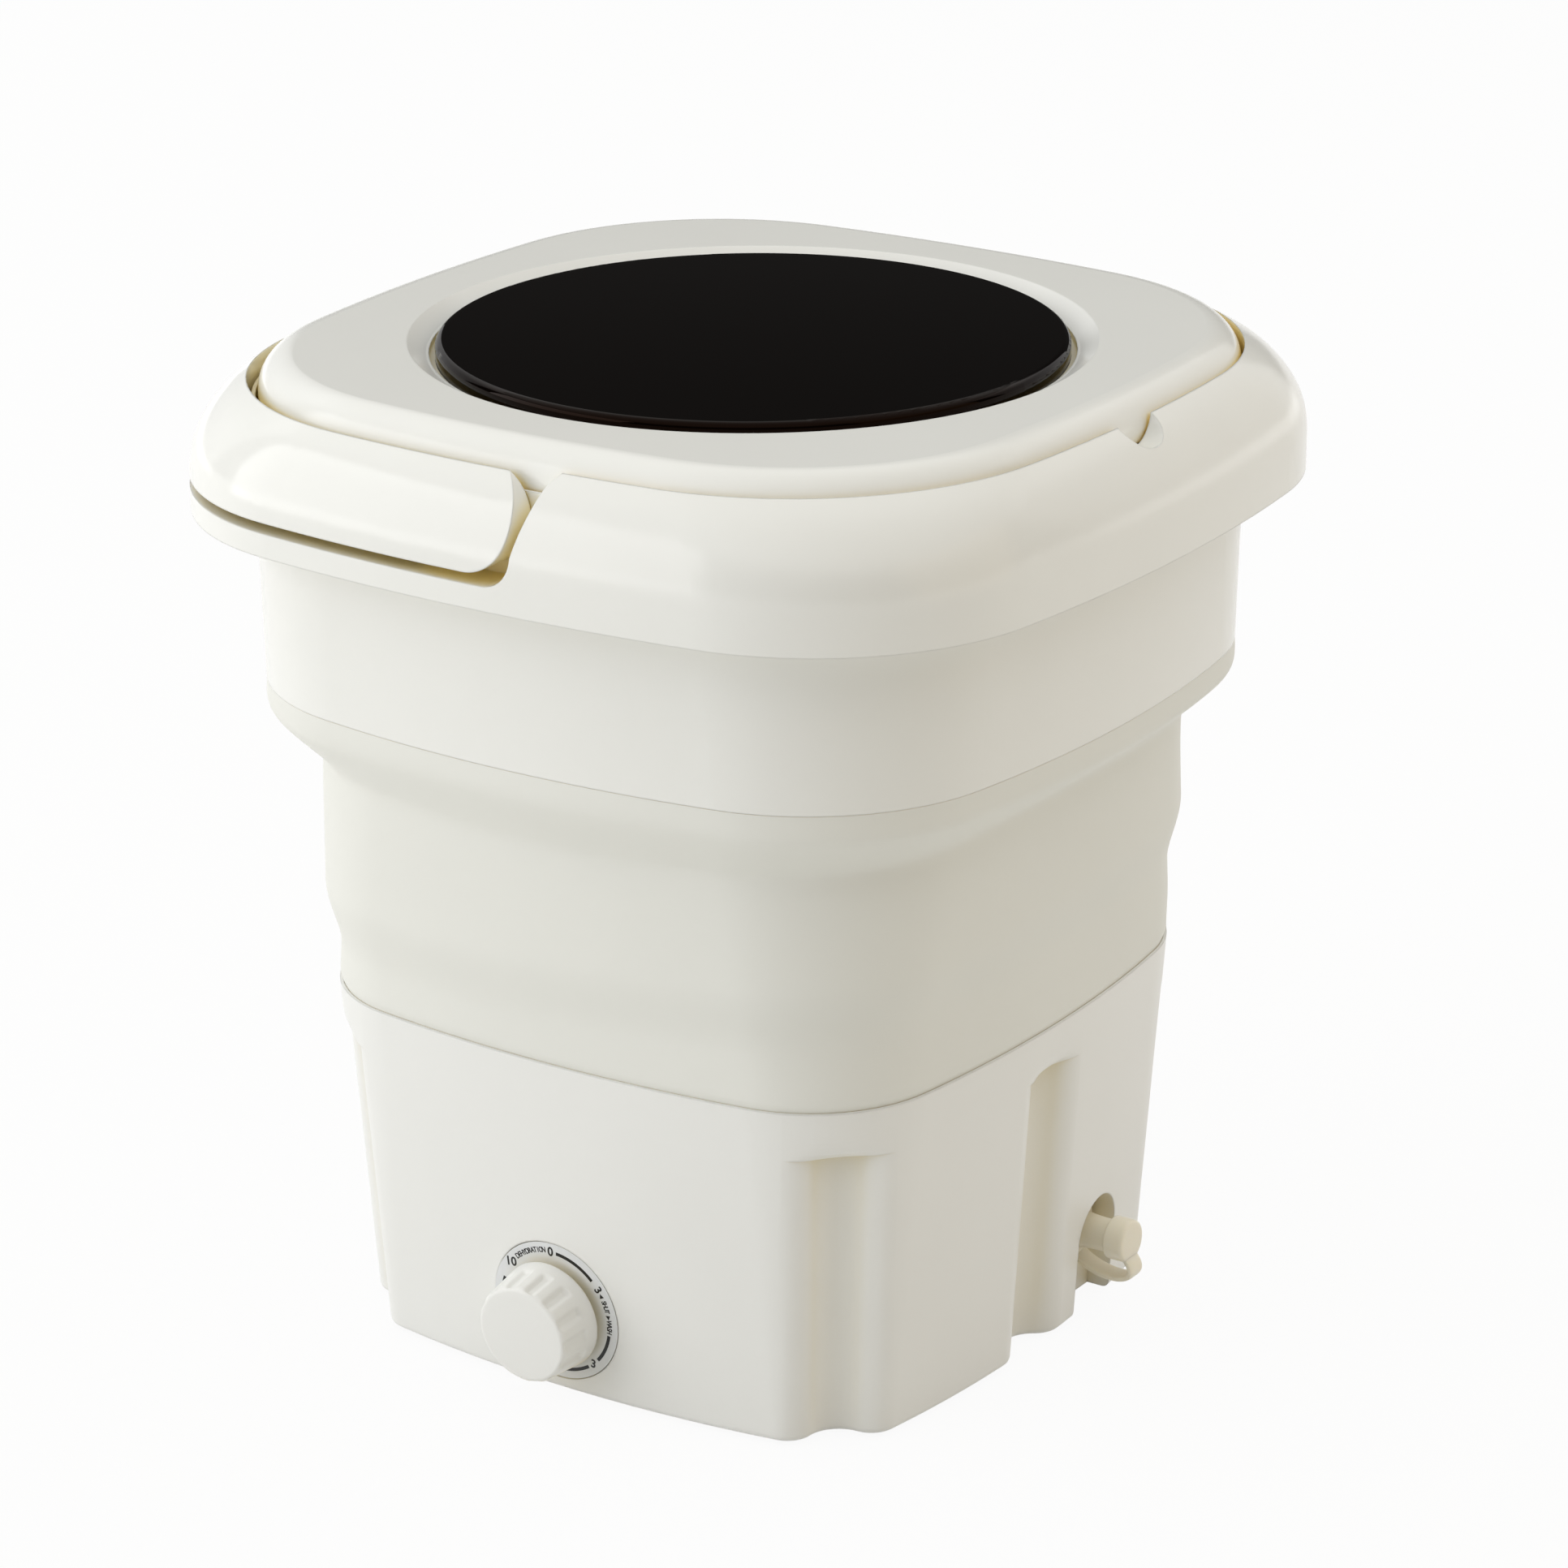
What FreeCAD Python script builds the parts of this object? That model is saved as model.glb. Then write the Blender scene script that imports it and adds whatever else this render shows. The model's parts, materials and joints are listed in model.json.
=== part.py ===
import FreeCAD
import Part
import math
import os

from FreeCAD import Placement, Rotation, Vector

# Folding washing machine, millimetres. Origin on the floor under the centre,
# +Z up, control dial on -Y, drain on +X, carrying handle grip on -X.

# Outlines: half width at mid side, radius of the bulged side, corner radius
base_foot = (125.0, 512.0, 39.0)
base_top = (134.5, 565.0, 55.0)
band_foot = (159.2, 514.0, 81.0)
rim_outline = (180.0, 728.0, 94.0)
band_shoulder = (160.0, 643.0, 85.8)
lid_outline = (161.0, 718.0, 101.0)

# Levels
base_bottom_z = 1.5
base_top_z = 137.0
soft_wall_height = 122.0
band_height = 66.0
rim_to_lid = 39.0
lid_height = 16.5

# Clearances
fit_gap = 0.05
seat_gap = 0.3
lid_gap = 1.0
tip_room = 1.0

# How far cutting tools and joined bosses run past a face
overrun = 1.0

# Base shell
base_wall = 3.2
base_edge_round = 2.5
base_edge_steps = 3
base_lip = 1.2
lip_height = 8.0
flute_depth = 11.0
flute_radius = 12.0
flute_shoulder = 11.0
flute_headroom = 19.0
collar_dip = 4.0
collar_dip_height = 9.0
collar_dip_steps = 4
flute_ledge = 6.0

# Soft folding wall, as shares of its height and of the way from base width to band width
bellows_wall = 2.5
bellows_gap = 0.15
bellows_lap = 8.0
bellows_throat = 3.0
bellows_profile = [
    (0.16, 0.08),
    (0.25, 0.17),
    (0.34, 0.25),
    (0.70, 0.34),
    (0.79, 0.64),
    (0.84, 0.81),
    (0.885, 0.93),
    (0.935, 0.985),
    (1.0, 1.0),
]

# Rigid band
band_wall = 3.2
flange_rise = 2.0
band_flange = 3.0

# Rim collar and its handle recess
rim_wall = 3.0
rim_straight = 14.5
rim_round = 42.0
rim_round_steps = 5
rim_run_in = 2.0
upstand = 1.5
low_upstand = 1.5
recess_rise = 9.0
recess_corner_x = 8.0
recess_corner_round = 12.0
recess_slope = (7.0, 24.0)
recess_flare = (6.0, 7.0)
scoop_radius = 12.0
scoop_inset = 15.0
scoop_rise = 50.5
collar_screw_span = 60.0
collar_screw_inset = 5.6
collar_boss_height = 12.0
collar_boss_rim = 1.0
collar_screw_cover = 1.5

# Carrying handle
handle_gap = 0.7
handle_corner = 101.0
handle_wall = 3.0
handle_end_radius = 18.5
handle_pivot_rise = 31.5
pivot_radius = 4.0
pivot_reach = 7.0
pivot_head_radius = 6.5
pivot_head = 2.4
pivot_head_gap = 0.15

# Lid and window
lid_wall = 3.0
lid_straight = 3.5
seal_height = 1.2
seal_inset = 0.8
lid_overhang = 0.5
window_radius = 116.8
window_seat_depth = 6.5
window_gap = 2.2
window_proud = 0.5
window_crown = 1.8
window_wall = 4.0
window_round = 3.0
dish_margin = 10.2
dish_width = 7.0
dish_depth = 4.5
seat_ledge = 3.0
seat_width = 9.0
gasket_thickness = 1.0
gasket_lap = 1.0
retainer_thickness = 3.0
retainer_lap = 1.0
window_screw_count = 6
window_screw_turn = 30.0
screw_end_room = 0.5

# Dial, knob and timer, heights measured outwards from the front wall
dial_x = -5.0
dial_z = 34.5
dial_radius = 27.9
dial_seat = 1.4
dial_thickness = 1.2
knob_back = 3.0
knob_front = 23.0
knob_back_radius = 20.5
knob_front_radius = 18.0
knob_grips = 14
knob_grip_radius = 3.2
knob_grip_depth = 1.4
knob_pocket_radius = 9.0
knob_pocket_depth = 2.5
knob_socket_depth = 13.0
knob_edge_round = 2.0
shaft_radius = 3.0
bushing_radius = 4.5
nut_flats = 12.0
nut_height = 2.4
bushing_proud = 0.6
timer_side = 42.0
timer_depth = 28.0
timer_pad = 1.0
timer_pad_radius = 13.0
shaft_end_cover = 4.0

# Drain in its niche
drain_y = 46.5
drain_z = 32.0
niche_radius = 15.5
niche_depth = 13.0
niche_wall = 2.5
spout_radius = 6.5
spout_bore = 4.5
spout_length = 26.0
spout_flange_radius = 13.5
spout_flange = 2.0
spout_nipple = 16.0
hose_wall = 1.8
hose_bend = 16.0
cap_radius = 8.0
cap_stand = 20.5
cap_length = 8.5
strap_width = 9.0
strap_thickness = 1.8
strap_drop = 9.5
strap_reach = 19.0

# Tub floor
floor_inset = 4.2
floor_wall = 2.5
floor_drop = 39.0
floor_thickness = 3.0
outlet_drop = 14.0

# Drive
shaft_r = 5.0
shaft_end_gap = 0.5
motor_radius = 40.0
motor_wall = 2.0
motor_hang = 10.0
motor_height = 52.0
motor_flange_radius = 50.0
motor_plate_radius = 60.0
motor_plate = 4.0
motor_screw_ring = 45.0
mount_screw_ring = 54.0
mount_boss_radius = 5.5
stator_inner = 24.0
stator_height = 26.0
winding_height = 6.0
winding_margin = 2.0
rotor_gap = 0.5
rotor_height = 30.0
bearing_radius = 11.0
bearing_height = 7.0
housing_radius = 16.0
housing_flange_radius = 25.0
housing_flange = 3.0
housing_drop = 9.0
housing_rise = 7.0
seal_radius = 9.0
seal_ring_height = 5.0
pulsator_radius = 80.0
pulsator_edge = 3.0
pulsator_edge_lift = 3.0
pulsator_crown = 17.0
pulsator_hub = 10.0
pulsator_neck = 16.0
hub_gap = 2.0
hub_cap = 3.0
pulsator_fins = 6
fin_width = 6.0
fin_rise = 4.0
basket_foot_radius = 104.0
basket_top_radius = 108.0
basket_height = 107.0
basket_wall = 2.5
basket_slots = 30
slot_width = 4.0
slot_margin = 12.0
basket_rim = 3.0
basket_floor_holes = 18
basket_hole_rings = (0.35, 0.6, 0.85)

# Underside, electronics and fasteners
cover_z = 3.0
cover_thickness = 3.0
foot_span = 78.0
foot_radius = 10.0
cover_screw_x = 70.0
boss_radius = 5.5
boss_height = 24.0
boss_sink = 1.0
board_size = (76.0, 52.0, 1.6)
board_centre = (-8.0, 62.0)
board_post_radius = 3.0
board_post_height = 8.0
board_margin = 4.5
capacitor_size = (12.0, 15.0)
relay_size = (15.0, 19.0, 14.0)
transistor_size = (4.0, 16.0, 15.0)
connector_size = (8.0, 20.0, 9.0)
capacitor_x = -22.0
relay_x = -2.5
transistor_x = 16.0
connector_x = 26.0
inlet_x = 48.0
inlet_z = 32.0
inlet_radius = 5.5
inlet_bore = 2.8
inlet_pin = 1.0
inlet_depth = 20.0
inlet_socket = 10.0
inlet_flange_radius = 8.0
inlet_flange = 1.5
inlet_nut_height = 3.0
inlet_nut_rim = 2.0
inlet_nut_gap = 1.0
screw_radius = 1.5
screw_head_radius = 2.8
screw_head = 1.8
screw_bite = 9.0
small_screw_radius = 1.2
small_screw_head_radius = 2.2
lead_radius = 1.8
lead_run = 18.0
lead_drop = 5.5
lead_bend_share = 0.45

band_foot_z = base_top_z + soft_wall_height
rim_bottom_z = band_foot_z + band_height
lid_bottom_z = rim_bottom_z + rim_to_lid
lid_top_z = lid_bottom_z + lid_height
flute_top_z = base_top_z - flute_headroom
band_flange_z = rim_bottom_z + flange_rise
recess_floor_z = rim_bottom_z + recess_rise
scoop_x = rim_outline[0] - scoop_inset
scoop_z = rim_bottom_z + scoop_rise
handle_pivot_z = rim_bottom_z + handle_pivot_rise
lid_round = lid_height - lid_straight
window_seat_z = lid_top_z - window_seat_depth
window_edge_z = lid_top_z + window_proud
dish_radius = window_radius + dish_margin
niche_floor_x = base_foot[0] - niche_depth
spout_end_x = niche_floor_x + spout_length
cap_start_x = niche_floor_x + cap_stand
cap_end_x = cap_start_x + cap_length
floor_z = base_top_z - floor_drop
motor_top_z = floor_z - motor_hang
motor_bottom_z = motor_top_z - motor_height
lead_under_motor_z = motor_bottom_z - lead_drop
floor_top_z = floor_z + floor_thickness
cover_top_z = cover_z + cover_thickness
small_hole = small_screw_radius + fit_gap
draft_slope = (base_top[0] - base_foot[0]) / base_top_z
draft_angle = math.degrees(math.atan(draft_slope))
reach = 2.0 * rim_outline[0]


def inset(section, amount):
    return tuple(value - amount for value in section)


def blend(first, second, share):
    return tuple(a + (b - a) * share for a, b in zip(first, second))


def base_section(z):
    return blend(base_foot, base_top, z / base_top_z)


def polar(centre, radius, degrees):
    angle = math.radians(degrees)
    return centre + Vector(radius * math.cos(angle), radius * math.sin(angle), 0)


def arc(start, middle, end):
    return Part.Arc(start, middle, end).toShape()


def round_arc(centre, radius, start, end):
    return arc(*[polar(centre, radius, angle) for angle in (start, (start + end) / 2, end)])


def corner_offset(section):
    half, side, corner = section
    side_centre = half - side
    return (side_centre + math.sqrt(2 * (side - corner) ** 2 - side_centre ** 2)) / 2


def fluted_arc(centre, radius, start, end, share, amount):
    # An arc with a smooth valley at its middle, moved inwards by amount; a share under 1 makes it shallower
    middle = (start + end) / 2
    valley_offset = radius + flute_radius - flute_depth
    shoulder_offset = radius - flute_shoulder
    join = flute_shoulder + flute_radius
    cosine = (shoulder_offset ** 2 + valley_offset ** 2 - join ** 2) / (2 * shoulder_offset * valley_offset)
    spread = math.degrees(math.acos(cosine))
    valley_centre = polar(centre, valley_offset, middle)

    def settle(point):
        plain = centre + (point - centre).normalize() * (radius - amount)
        return plain + (point - plain) * share

    shoulders = []
    for angle in (middle - spread, middle + spread):
        shoulder_centre = polar(centre, shoulder_offset, angle)
        towards = (valley_centre - shoulder_centre).normalize()
        outwards = polar(Vector(), 1.0, angle)
        between = (towards + outwards).normalize()
        ways = (outwards, between, towards)
        shoulders.append([settle(shoulder_centre + way * (flute_shoulder - amount)) for way in ways])
    floor = settle(polar(valley_centre, flute_radius + amount, middle + 180))
    first, second = shoulders
    return [
        round_arc(centre, radius - amount, start, middle - spread),
        arc(*first),
        arc(first[2], floor, second[2]),
        arc(*reversed(second)),
        round_arc(centre, radius - amount, middle + spread, end),
    ]


def outline(section, z, amount=0.0, flute=None):
    # Closed bulged square; with a flute share it has one at each corner and at the +X and -X sides
    half, side, corner = section
    offset = corner_offset(section)
    side_end = math.degrees(math.asin(offset / (side - corner)))
    edges = []
    for quarter in range(4):
        turn = 90 * quarter
        side_centre = polar(Vector(0, 0, z), half - side, turn)
        corner_centre = polar(Vector(0, 0, z), offset * math.sqrt(2), turn + 45)
        side_span = (turn - side_end, turn + side_end)
        corner_span = (turn + side_end, turn + 90 - side_end)
        if flute is not None and quarter % 2 == 0:
            edges += fluted_arc(side_centre, side, *side_span, flute, amount)
        else:
            edges.append(round_arc(side_centre, side - amount, *side_span))
        if flute is not None:
            edges += fluted_arc(corner_centre, corner, *corner_span, flute, amount)
        else:
            edges.append(round_arc(corner_centre, corner - amount, *corner_span))
    return Part.Wire(edges)


def loft(wires):
    return Part.makeLoft(wires, True, True)


def prism(section, low, high):
    return Part.Face(outline(section, low)).extrude(Vector(0, 0, high - low))


def domed_prism(section, low, high, rounding):
    block = prism(section, low, high)
    top_edges = [edge for edge in block.Edges if edge.BoundBox.ZMin > high - fit_gap]
    return block.makeFillet(rounding, top_edges)


def cylinder(radius, low, high, x=0.0, y=0.0):
    return Part.makeCylinder(radius, high - low, Vector(x, y, low))


def tube(outer, inner, low, high, x=0.0, y=0.0):
    return cylinder(outer, low, high, x, y).cut(cylinder(inner, low, high, x, y))


def box(low, high):
    size = Vector(*high) - Vector(*low)
    return Part.makeBox(size.x, size.y, size.z, Vector(*low))


def rod_x(radius, start, end, y, z):
    return Part.makeCylinder(radius, end - start, Vector(start, y, z), Vector(1, 0, 0))


def rod_y(radius, start, end, x, z):
    return Part.makeCylinder(radius, end - start, Vector(x, start, z), Vector(0, 1, 0))


def ring_spots(count, radius, first=0.0):
    return [polar(Vector(), radius, first + 360.0 * number / count) for number in range(count)]


def square_spots(x, y):
    return [Vector(sx * x, sy * y, 0) for sx in (-1, 1) for sy in (-1, 1)]


def screw_up(spot, seat, tip):
    # Head below the seat, shank pointing up
    head = cylinder(screw_head_radius, seat - screw_head, seat, spot.x, spot.y)
    return head.fuse(cylinder(screw_radius, seat, tip, spot.x, spot.y))


def screw_down(spot, seat, tip, radius=screw_radius, head_radius=screw_head_radius):
    head = cylinder(head_radius, seat, seat + screw_head, spot.x, spot.y)
    return head.fuse(cylinder(radius, tip, seat, spot.x, spot.y))


def holes(spots, low, high, radius=screw_radius + fit_gap):
    return Part.makeCompound([cylinder(radius, low, high, spot.x, spot.y) for spot in spots])


def hex_nut(flats, thread_radius, low, high):
    corners = [spot + Vector(0, 0, low) for spot in ring_spots(6, flats / math.sqrt(3))]
    nut = Part.Face(Part.makePolygon(corners + corners[:1])).extrude(Vector(0, 0, high - low))
    return nut.cut(cylinder(thread_radius + fit_gap, low, high))


def revolve(points):
    # Solid turned about Z from points given as radius and height
    wire = Part.makePolygon([Vector(radius, 0, z) for radius, z in points + points[:1]])
    return Part.Face(wire).revolve(Vector(), Vector(0, 0, 1), 360)


def fluted_block(amount, low, ledge, high):
    # Fluted up to the ledge, plain above it, following the draft of the base
    fluted = loft([outline(base_section(z), z, amount, 1.0) for z in (low, ledge)])
    plain = loft([outline(base_section(z), z, amount) for z in (ledge, high)])
    return fluted.fuse(plain)


# Where the dial and the power inlet stand on the drafted walls
def wall_y(x, z):
    half, side, corner = base_section(z)
    return half - side + math.sqrt(side ** 2 - x ** 2)


def on_front(shape):
    shape = shape.copy()
    spot = Vector(dial_x, -wall_y(dial_x, dial_z), dial_z)
    shape.Placement = Placement(spot, Rotation(Vector(1, 0, 0), 90 + draft_angle))
    return shape


def on_back(shape):
    shape = shape.copy()
    spot = Vector(inlet_x, wall_y(inlet_x, inlet_z), inlet_z)
    shape.Placement = Placement(spot, Rotation(Vector(1, 0, 0), -90 - draft_angle))
    return shape


# Base shell
outlet_x = niche_floor_x - niche_wall - spout_nipple - hose_bend
mount_spots = ring_spots(4, mount_screw_ring, 45)
housing_spots = ring_spots(4, (housing_radius + housing_flange_radius) / 2, 0)
motor_spots = ring_spots(4, motor_screw_ring, 0)
half_board = (board_size[0] / 2 - board_margin, board_size[1] / 2 - board_margin)
board_spots = [spot + Vector(*board_centre, 0) for spot in square_spots(*half_board)]
ledge_z = flute_top_z + flute_ledge
rabbet_z = base_top_z - lip_height
cover_screw_y = wall_y(cover_screw_x, cover_z) - base_wall - boss_radius + boss_sink
cover_spots = square_spots(cover_screw_x, cover_screw_y)
ledge_corner = corner_offset(base_section(ledge_z)) * math.sqrt(2) + base_section(ledge_z)[2]
tub_screw_spots = ring_spots(4, ledge_corner - flute_depth - base_wall + small_screw_radius, 45)


def niche(amount):
    # Arched pocket for the drain, open at the bottom and towards +X
    start = niche_floor_x - amount
    radius = niche_radius + amount
    arch = rod_x(radius, start, reach, drain_y, drain_z)
    return arch.fuse(box((start, drain_y - radius, -overrun), (reach, drain_y + radius, drain_z)))


def base_outer():
    lower = []
    for step in range(base_edge_steps + 1):
        angle = math.pi / 2 * step / base_edge_steps
        z = base_bottom_z + base_edge_round * (1 - math.cos(angle))
        amount = base_edge_round * (1 - math.sin(angle))
        lower.append(outline(base_section(z), z, amount, 1.0))
    lower.append(outline(base_section(flute_top_z), flute_top_z, 0.0, 1.0))
    upper = []
    for step in range(collar_dip_steps + 1):
        share = step / collar_dip_steps
        z = flute_top_z + collar_dip_height * share
        dip = collar_dip * (1 - math.sqrt(1 - (1 - share) ** 2))
        upper.append(outline(base_section(z), z, 0.0, dip / flute_depth))
    upper.append(outline(base_section(base_top_z), base_top_z, 0.0, 0.0))
    return loft(lower).fuse(loft(upper))


def base_shell():
    outer = base_outer()
    shell = outer.cut(fluted_block(base_wall, base_bottom_z - overrun, ledge_z, rabbet_z))
    lip_levels = (rabbet_z, base_top_z + overrun)
    shell = shell.cut(loft([outline(base_section(z), z, base_lip) for z in lip_levels]))
    additions = [niche(niche_wall)]
    for spot in cover_spots:
        top = cover_top_z + boss_height
        web_end = math.copysign(wall_y(spot.x, top), spot.y)
        low_y, high_y = sorted((spot.y, web_end))
        boss = cylinder(boss_radius, cover_top_z, top, spot.x, spot.y)
        half = boss_radius / 2
        web = box((spot.x - half, low_y, cover_top_z), (spot.x + half, high_y, top))
        additions.append(boss.fuse(web))
    pad = cylinder(timer_pad_radius, -base_wall - timer_pad, -dial_seat)
    additions.append(on_front(pad))
    shell = shell.fuse([piece.common(outer) for piece in additions])
    shell = shell.cut(niche(0.0))
    shell = shell.cut(holes(cover_spots, cover_z, cover_top_z + screw_bite + tip_room))
    shell = shell.cut(holes(tub_screw_spots, ledge_z - screw_bite, ledge_z + overrun, small_hole))
    shell = shell.cut(on_front(cylinder(dial_radius + seat_gap, -dial_seat, dial_seat + overrun)))
    shell = shell.cut(on_front(cylinder(bushing_radius + fit_gap, -base_wall * 2, dial_seat)))
    inlet_seat = cylinder(inlet_flange_radius + seat_gap, -inlet_flange, inlet_flange + overrun)
    shell = shell.cut(on_back(inlet_seat))
    shell = shell.cut(on_back(cylinder(inlet_radius + fit_gap, -base_wall * 2, inlet_flange)))
    hole_start = niche_floor_x - niche_wall - overrun
    spout_hole = rod_x(spout_radius + fit_gap, hole_start, niche_floor_x + overrun, drain_y, drain_z)
    return shell.cut(spout_hole)


def cover_plate():
    edge = base_wall + seat_gap
    levels = (cover_z, cover_top_z)
    plate = loft([outline(base_section(z), z, edge, 1.0) for z in levels])
    plate = plate.cut(niche(niche_wall + seat_gap))
    posts = [tube(board_post_radius, screw_radius, levels[1], levels[1] + board_post_height, spot.x, spot.y)
             for spot in board_spots]
    plate = plate.fuse(posts)
    plate = plate.cut(holes(cover_spots, cover_z - overrun, levels[1] + overrun))
    sinks = holes(cover_spots, cover_z - overrun, cover_z + screw_head, screw_head_radius + seat_gap)
    return plate.cut(sinks)


# Tub floor pan, carried on the flute ledges of the base
def tub_floor():
    ledge = ledge_z
    pan = fluted_block(floor_inset, floor_z, ledge, base_top_z)
    inner_ledge = ledge + floor_wall
    room = fluted_block(floor_inset + floor_wall, floor_top_z, inner_ledge, base_top_z + overrun)
    pan = pan.cut(room)
    bosses = [cylinder(mount_boss_radius, motor_top_z + motor_plate, floor_z + overrun, spot.x, spot.y)
              for spot in mount_spots]
    pan = pan.fuse(bosses)
    pan = pan.cut(holes(mount_spots, motor_top_z, floor_z + overrun))
    pan = pan.cut(holes(housing_spots, floor_z - overrun, floor_top_z + overrun))
    pan = pan.cut(holes(tub_screw_spots, ledge - overrun, inner_ledge + overrun, small_hole))
    pan = pan.cut(cylinder(housing_radius + fit_gap, floor_z - overrun, floor_top_z + overrun))
    outlet = cylinder(spout_radius, floor_z - outlet_drop, floor_z + overrun, outlet_x, drain_y)
    pan = pan.fuse(outlet)
    drain = cylinder(spout_bore, floor_z - outlet_drop - overrun, floor_top_z + overrun, outlet_x, drain_y)
    return pan.cut(drain)


def tub_screw(spot):
    seat = ledge_z + floor_wall
    tip = ledge_z - screw_bite + tip_room
    return screw_down(spot, seat, tip, small_screw_radius, small_screw_head_radius)


# Soft folding wall between base and band
bellows_foot = inset(base_top, base_lip + bellows_gap)


def bellows_section(share, widening):
    half = bellows_foot[0] + (band_foot[0] - bellows_foot[0]) * widening
    return (half,) + blend(bellows_foot, band_foot, share)[1:]


def bellows():
    rise = band_foot_z - base_top_z
    sections = []
    for share, widening in bellows_profile:
        sections.append((base_top_z + rise * share, bellows_section(share, widening)))
    tongue = inset(band_foot, band_wall + bellows_gap)
    throat = inset(tongue, bellows_wall)
    throat_z = band_foot_z - bellows_throat
    lap_z = band_foot_z + bellows_lap
    foot_levels = (rabbet_z, base_top_z)
    outer = [outline(base_section(z), z, base_lip + bellows_gap) for z in foot_levels]
    outer += [outline(section, z) for z, section in sections]
    skin = loft(outer).fuse(prism(tongue, throat_z, lap_z))
    foot_levels = (rabbet_z - overrun, base_top_z)
    inner = [outline(base_section(z), z, base_lip + bellows_gap + bellows_wall) for z in foot_levels]
    inner += [outline(inset(section, bellows_wall), z) for z, section in sections if z < throat_z - overrun]
    inner += [outline(throat, z) for z in (throat_z, lap_z + overrun)]
    return skin.cut(loft(inner))


# Rigid band, the upper half of the tub wall
band_top_z = lid_bottom_z - seal_height
band_top = inset(lid_outline, lid_overhang)
band_neck_z = band_flange_z + band_flange


def band_wires(amount, margin):
    # The wall leans out to the shoulder under the rim, steps in at the flange and rises straight to the lid
    levels = [
        (band_foot, band_foot_z - margin),
        (band_foot, band_foot_z),
        (band_shoulder, rim_bottom_z),
        (band_top, band_neck_z),
        (band_top, band_top_z + margin),
    ]
    if margin == 0.0:
        levels = levels[1:]
    return [outline(inset(section, amount), z) for section, z in levels]


def tub_band():
    flange = prism(inset(rim_outline, rim_wall + seat_gap), band_flange_z, band_neck_z)
    band = loft(band_wires(0.0, 0.0)).fuse(flange)
    band = band.cut(loft(band_wires(band_wall, overrun)))
    band = band.cut(holes(collar_spots, band_flange_z - overrun, band_neck_z + overrun))
    return band.cut(pivot_bores())


# Rim collar with the upstand round the lid and the recess for the handle
lid_opening = inset(lid_outline, -lid_gap)
upstand_outer = inset(lid_opening, -upstand)
low_upstand_z = lid_bottom_z + low_upstand
collar_mid = rim_outline[0] - rim_wall - collar_screw_inset
collar_spots = square_spots(collar_mid, collar_screw_span) + square_spots(collar_screw_span, collar_mid)
collar_screw_tip = recess_floor_z - collar_screw_cover
crown_z = rim_bottom_z + rim_straight + rim_round


def pivot_bores():
    return rod_y(pivot_radius + fit_gap, -reach, reach, 0, handle_pivot_z)


def rim_dome(amount):
    # Upright wall, then an arc in section that ends at one height all round, just inside the lid's opening
    width = rim_outline[0] - lid_opening[0]
    straight_z = rim_bottom_z + rim_straight
    radius = rim_round - amount
    last = math.acos(1 - (width + rim_run_in - amount) / radius)
    foot = blend(rim_outline, lid_opening, amount / width)
    low = rim_bottom_z - amount
    wires = [outline(foot, low), outline(foot, (low + straight_z) / 2)]
    for step in range(rim_round_steps + 1):
        angle = last * step / rim_round_steps
        depth = amount + radius * (1 - math.cos(angle))
        section = blend(rim_outline, lid_opening, depth / width)
        wires.append(outline(section, straight_z + radius * math.sin(angle)))
    return Part.makeLoft(wires, True, False)


def side_profile(points):
    # Prism across the machine from points and arcs in the XZ plane
    wire = Part.Wire(points)
    return Part.Face(wire).extrude(Vector(0, 2 * reach, 0))


def side_point(x, z):
    return Vector(x, -reach, z)


def recess(amount):
    floor = recess_floor_z - amount
    centre_z = recess_floor_z + recess_corner_round
    radius = recess_corner_round + amount
    diagonal = radius / math.sqrt(2)
    corner_start = side_point(recess_corner_x, floor)
    corner_middle = side_point(recess_corner_x + diagonal, centre_z - diagonal)
    corner_end = side_point(recess_corner_x + radius, centre_z)
    slope_end = corner_end + Vector(recess_slope[0], 0, recess_slope[1])
    flare_end = slope_end + Vector(recess_flare[0], 0, recess_flare[1])
    top = crown_z + overrun
    lip = side_point(flare_end.x + recess_flare[0], top)
    far_top = side_point(-reach, top)
    far_floor = side_point(-reach, floor)
    corner = arc(corner_start, corner_middle, corner_end)
    path = [corner_end, slope_end, flare_end, lip, far_top, far_floor, corner_start]
    lines = [Part.makeLine(a, b) for a, b in zip(path, path[1:])]
    return side_profile([corner] + lines)


def rim_collar():
    dome = rim_dome(0.0)
    opening = prism(lid_opening, rim_bottom_z - overrun, crown_z + overrun)
    island = prism(upstand_outer, rim_bottom_z - overrun, crown_z + overrun)
    low_island = prism(upstand_outer, rim_bottom_z - overrun, low_upstand_z)
    full = dome.cut(opening).cut(recess(0.0).cut(low_island))
    hollow = rim_dome(rim_wall).cut(island).cut(recess(rim_wall))
    collar = full.cut(hollow)
    boss_side = screw_head_radius + collar_boss_rim
    boss_low = rim_bottom_z + overrun
    boss_high = rim_bottom_z + collar_boss_height
    bosses = [cylinder(boss_side, boss_low, boss_high, spot.x, spot.y) for spot in collar_spots]
    collar = collar.fuse([boss.common(full) for boss in bosses])
    pad = Part.makeSphere(scoop_radius + rim_wall, Vector(scoop_x, 0, scoop_z)).common(full)
    collar = collar.fuse(pad)
    collar = collar.cut(Part.makeSphere(scoop_radius, Vector(scoop_x, 0, scoop_z)))
    flange_room = prism(inset(rim_outline, rim_wall), rim_bottom_z - overrun, band_neck_z)
    collar = collar.cut(flange_room)
    collar = collar.cut(holes(collar_spots, band_flange_z, collar_screw_tip + screw_end_room))
    return collar.cut(pivot_bores())


# Swinging carry handle and its pivots
handle_inner = inset(upstand_outer, -handle_gap)[:2] + (handle_corner,)


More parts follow.
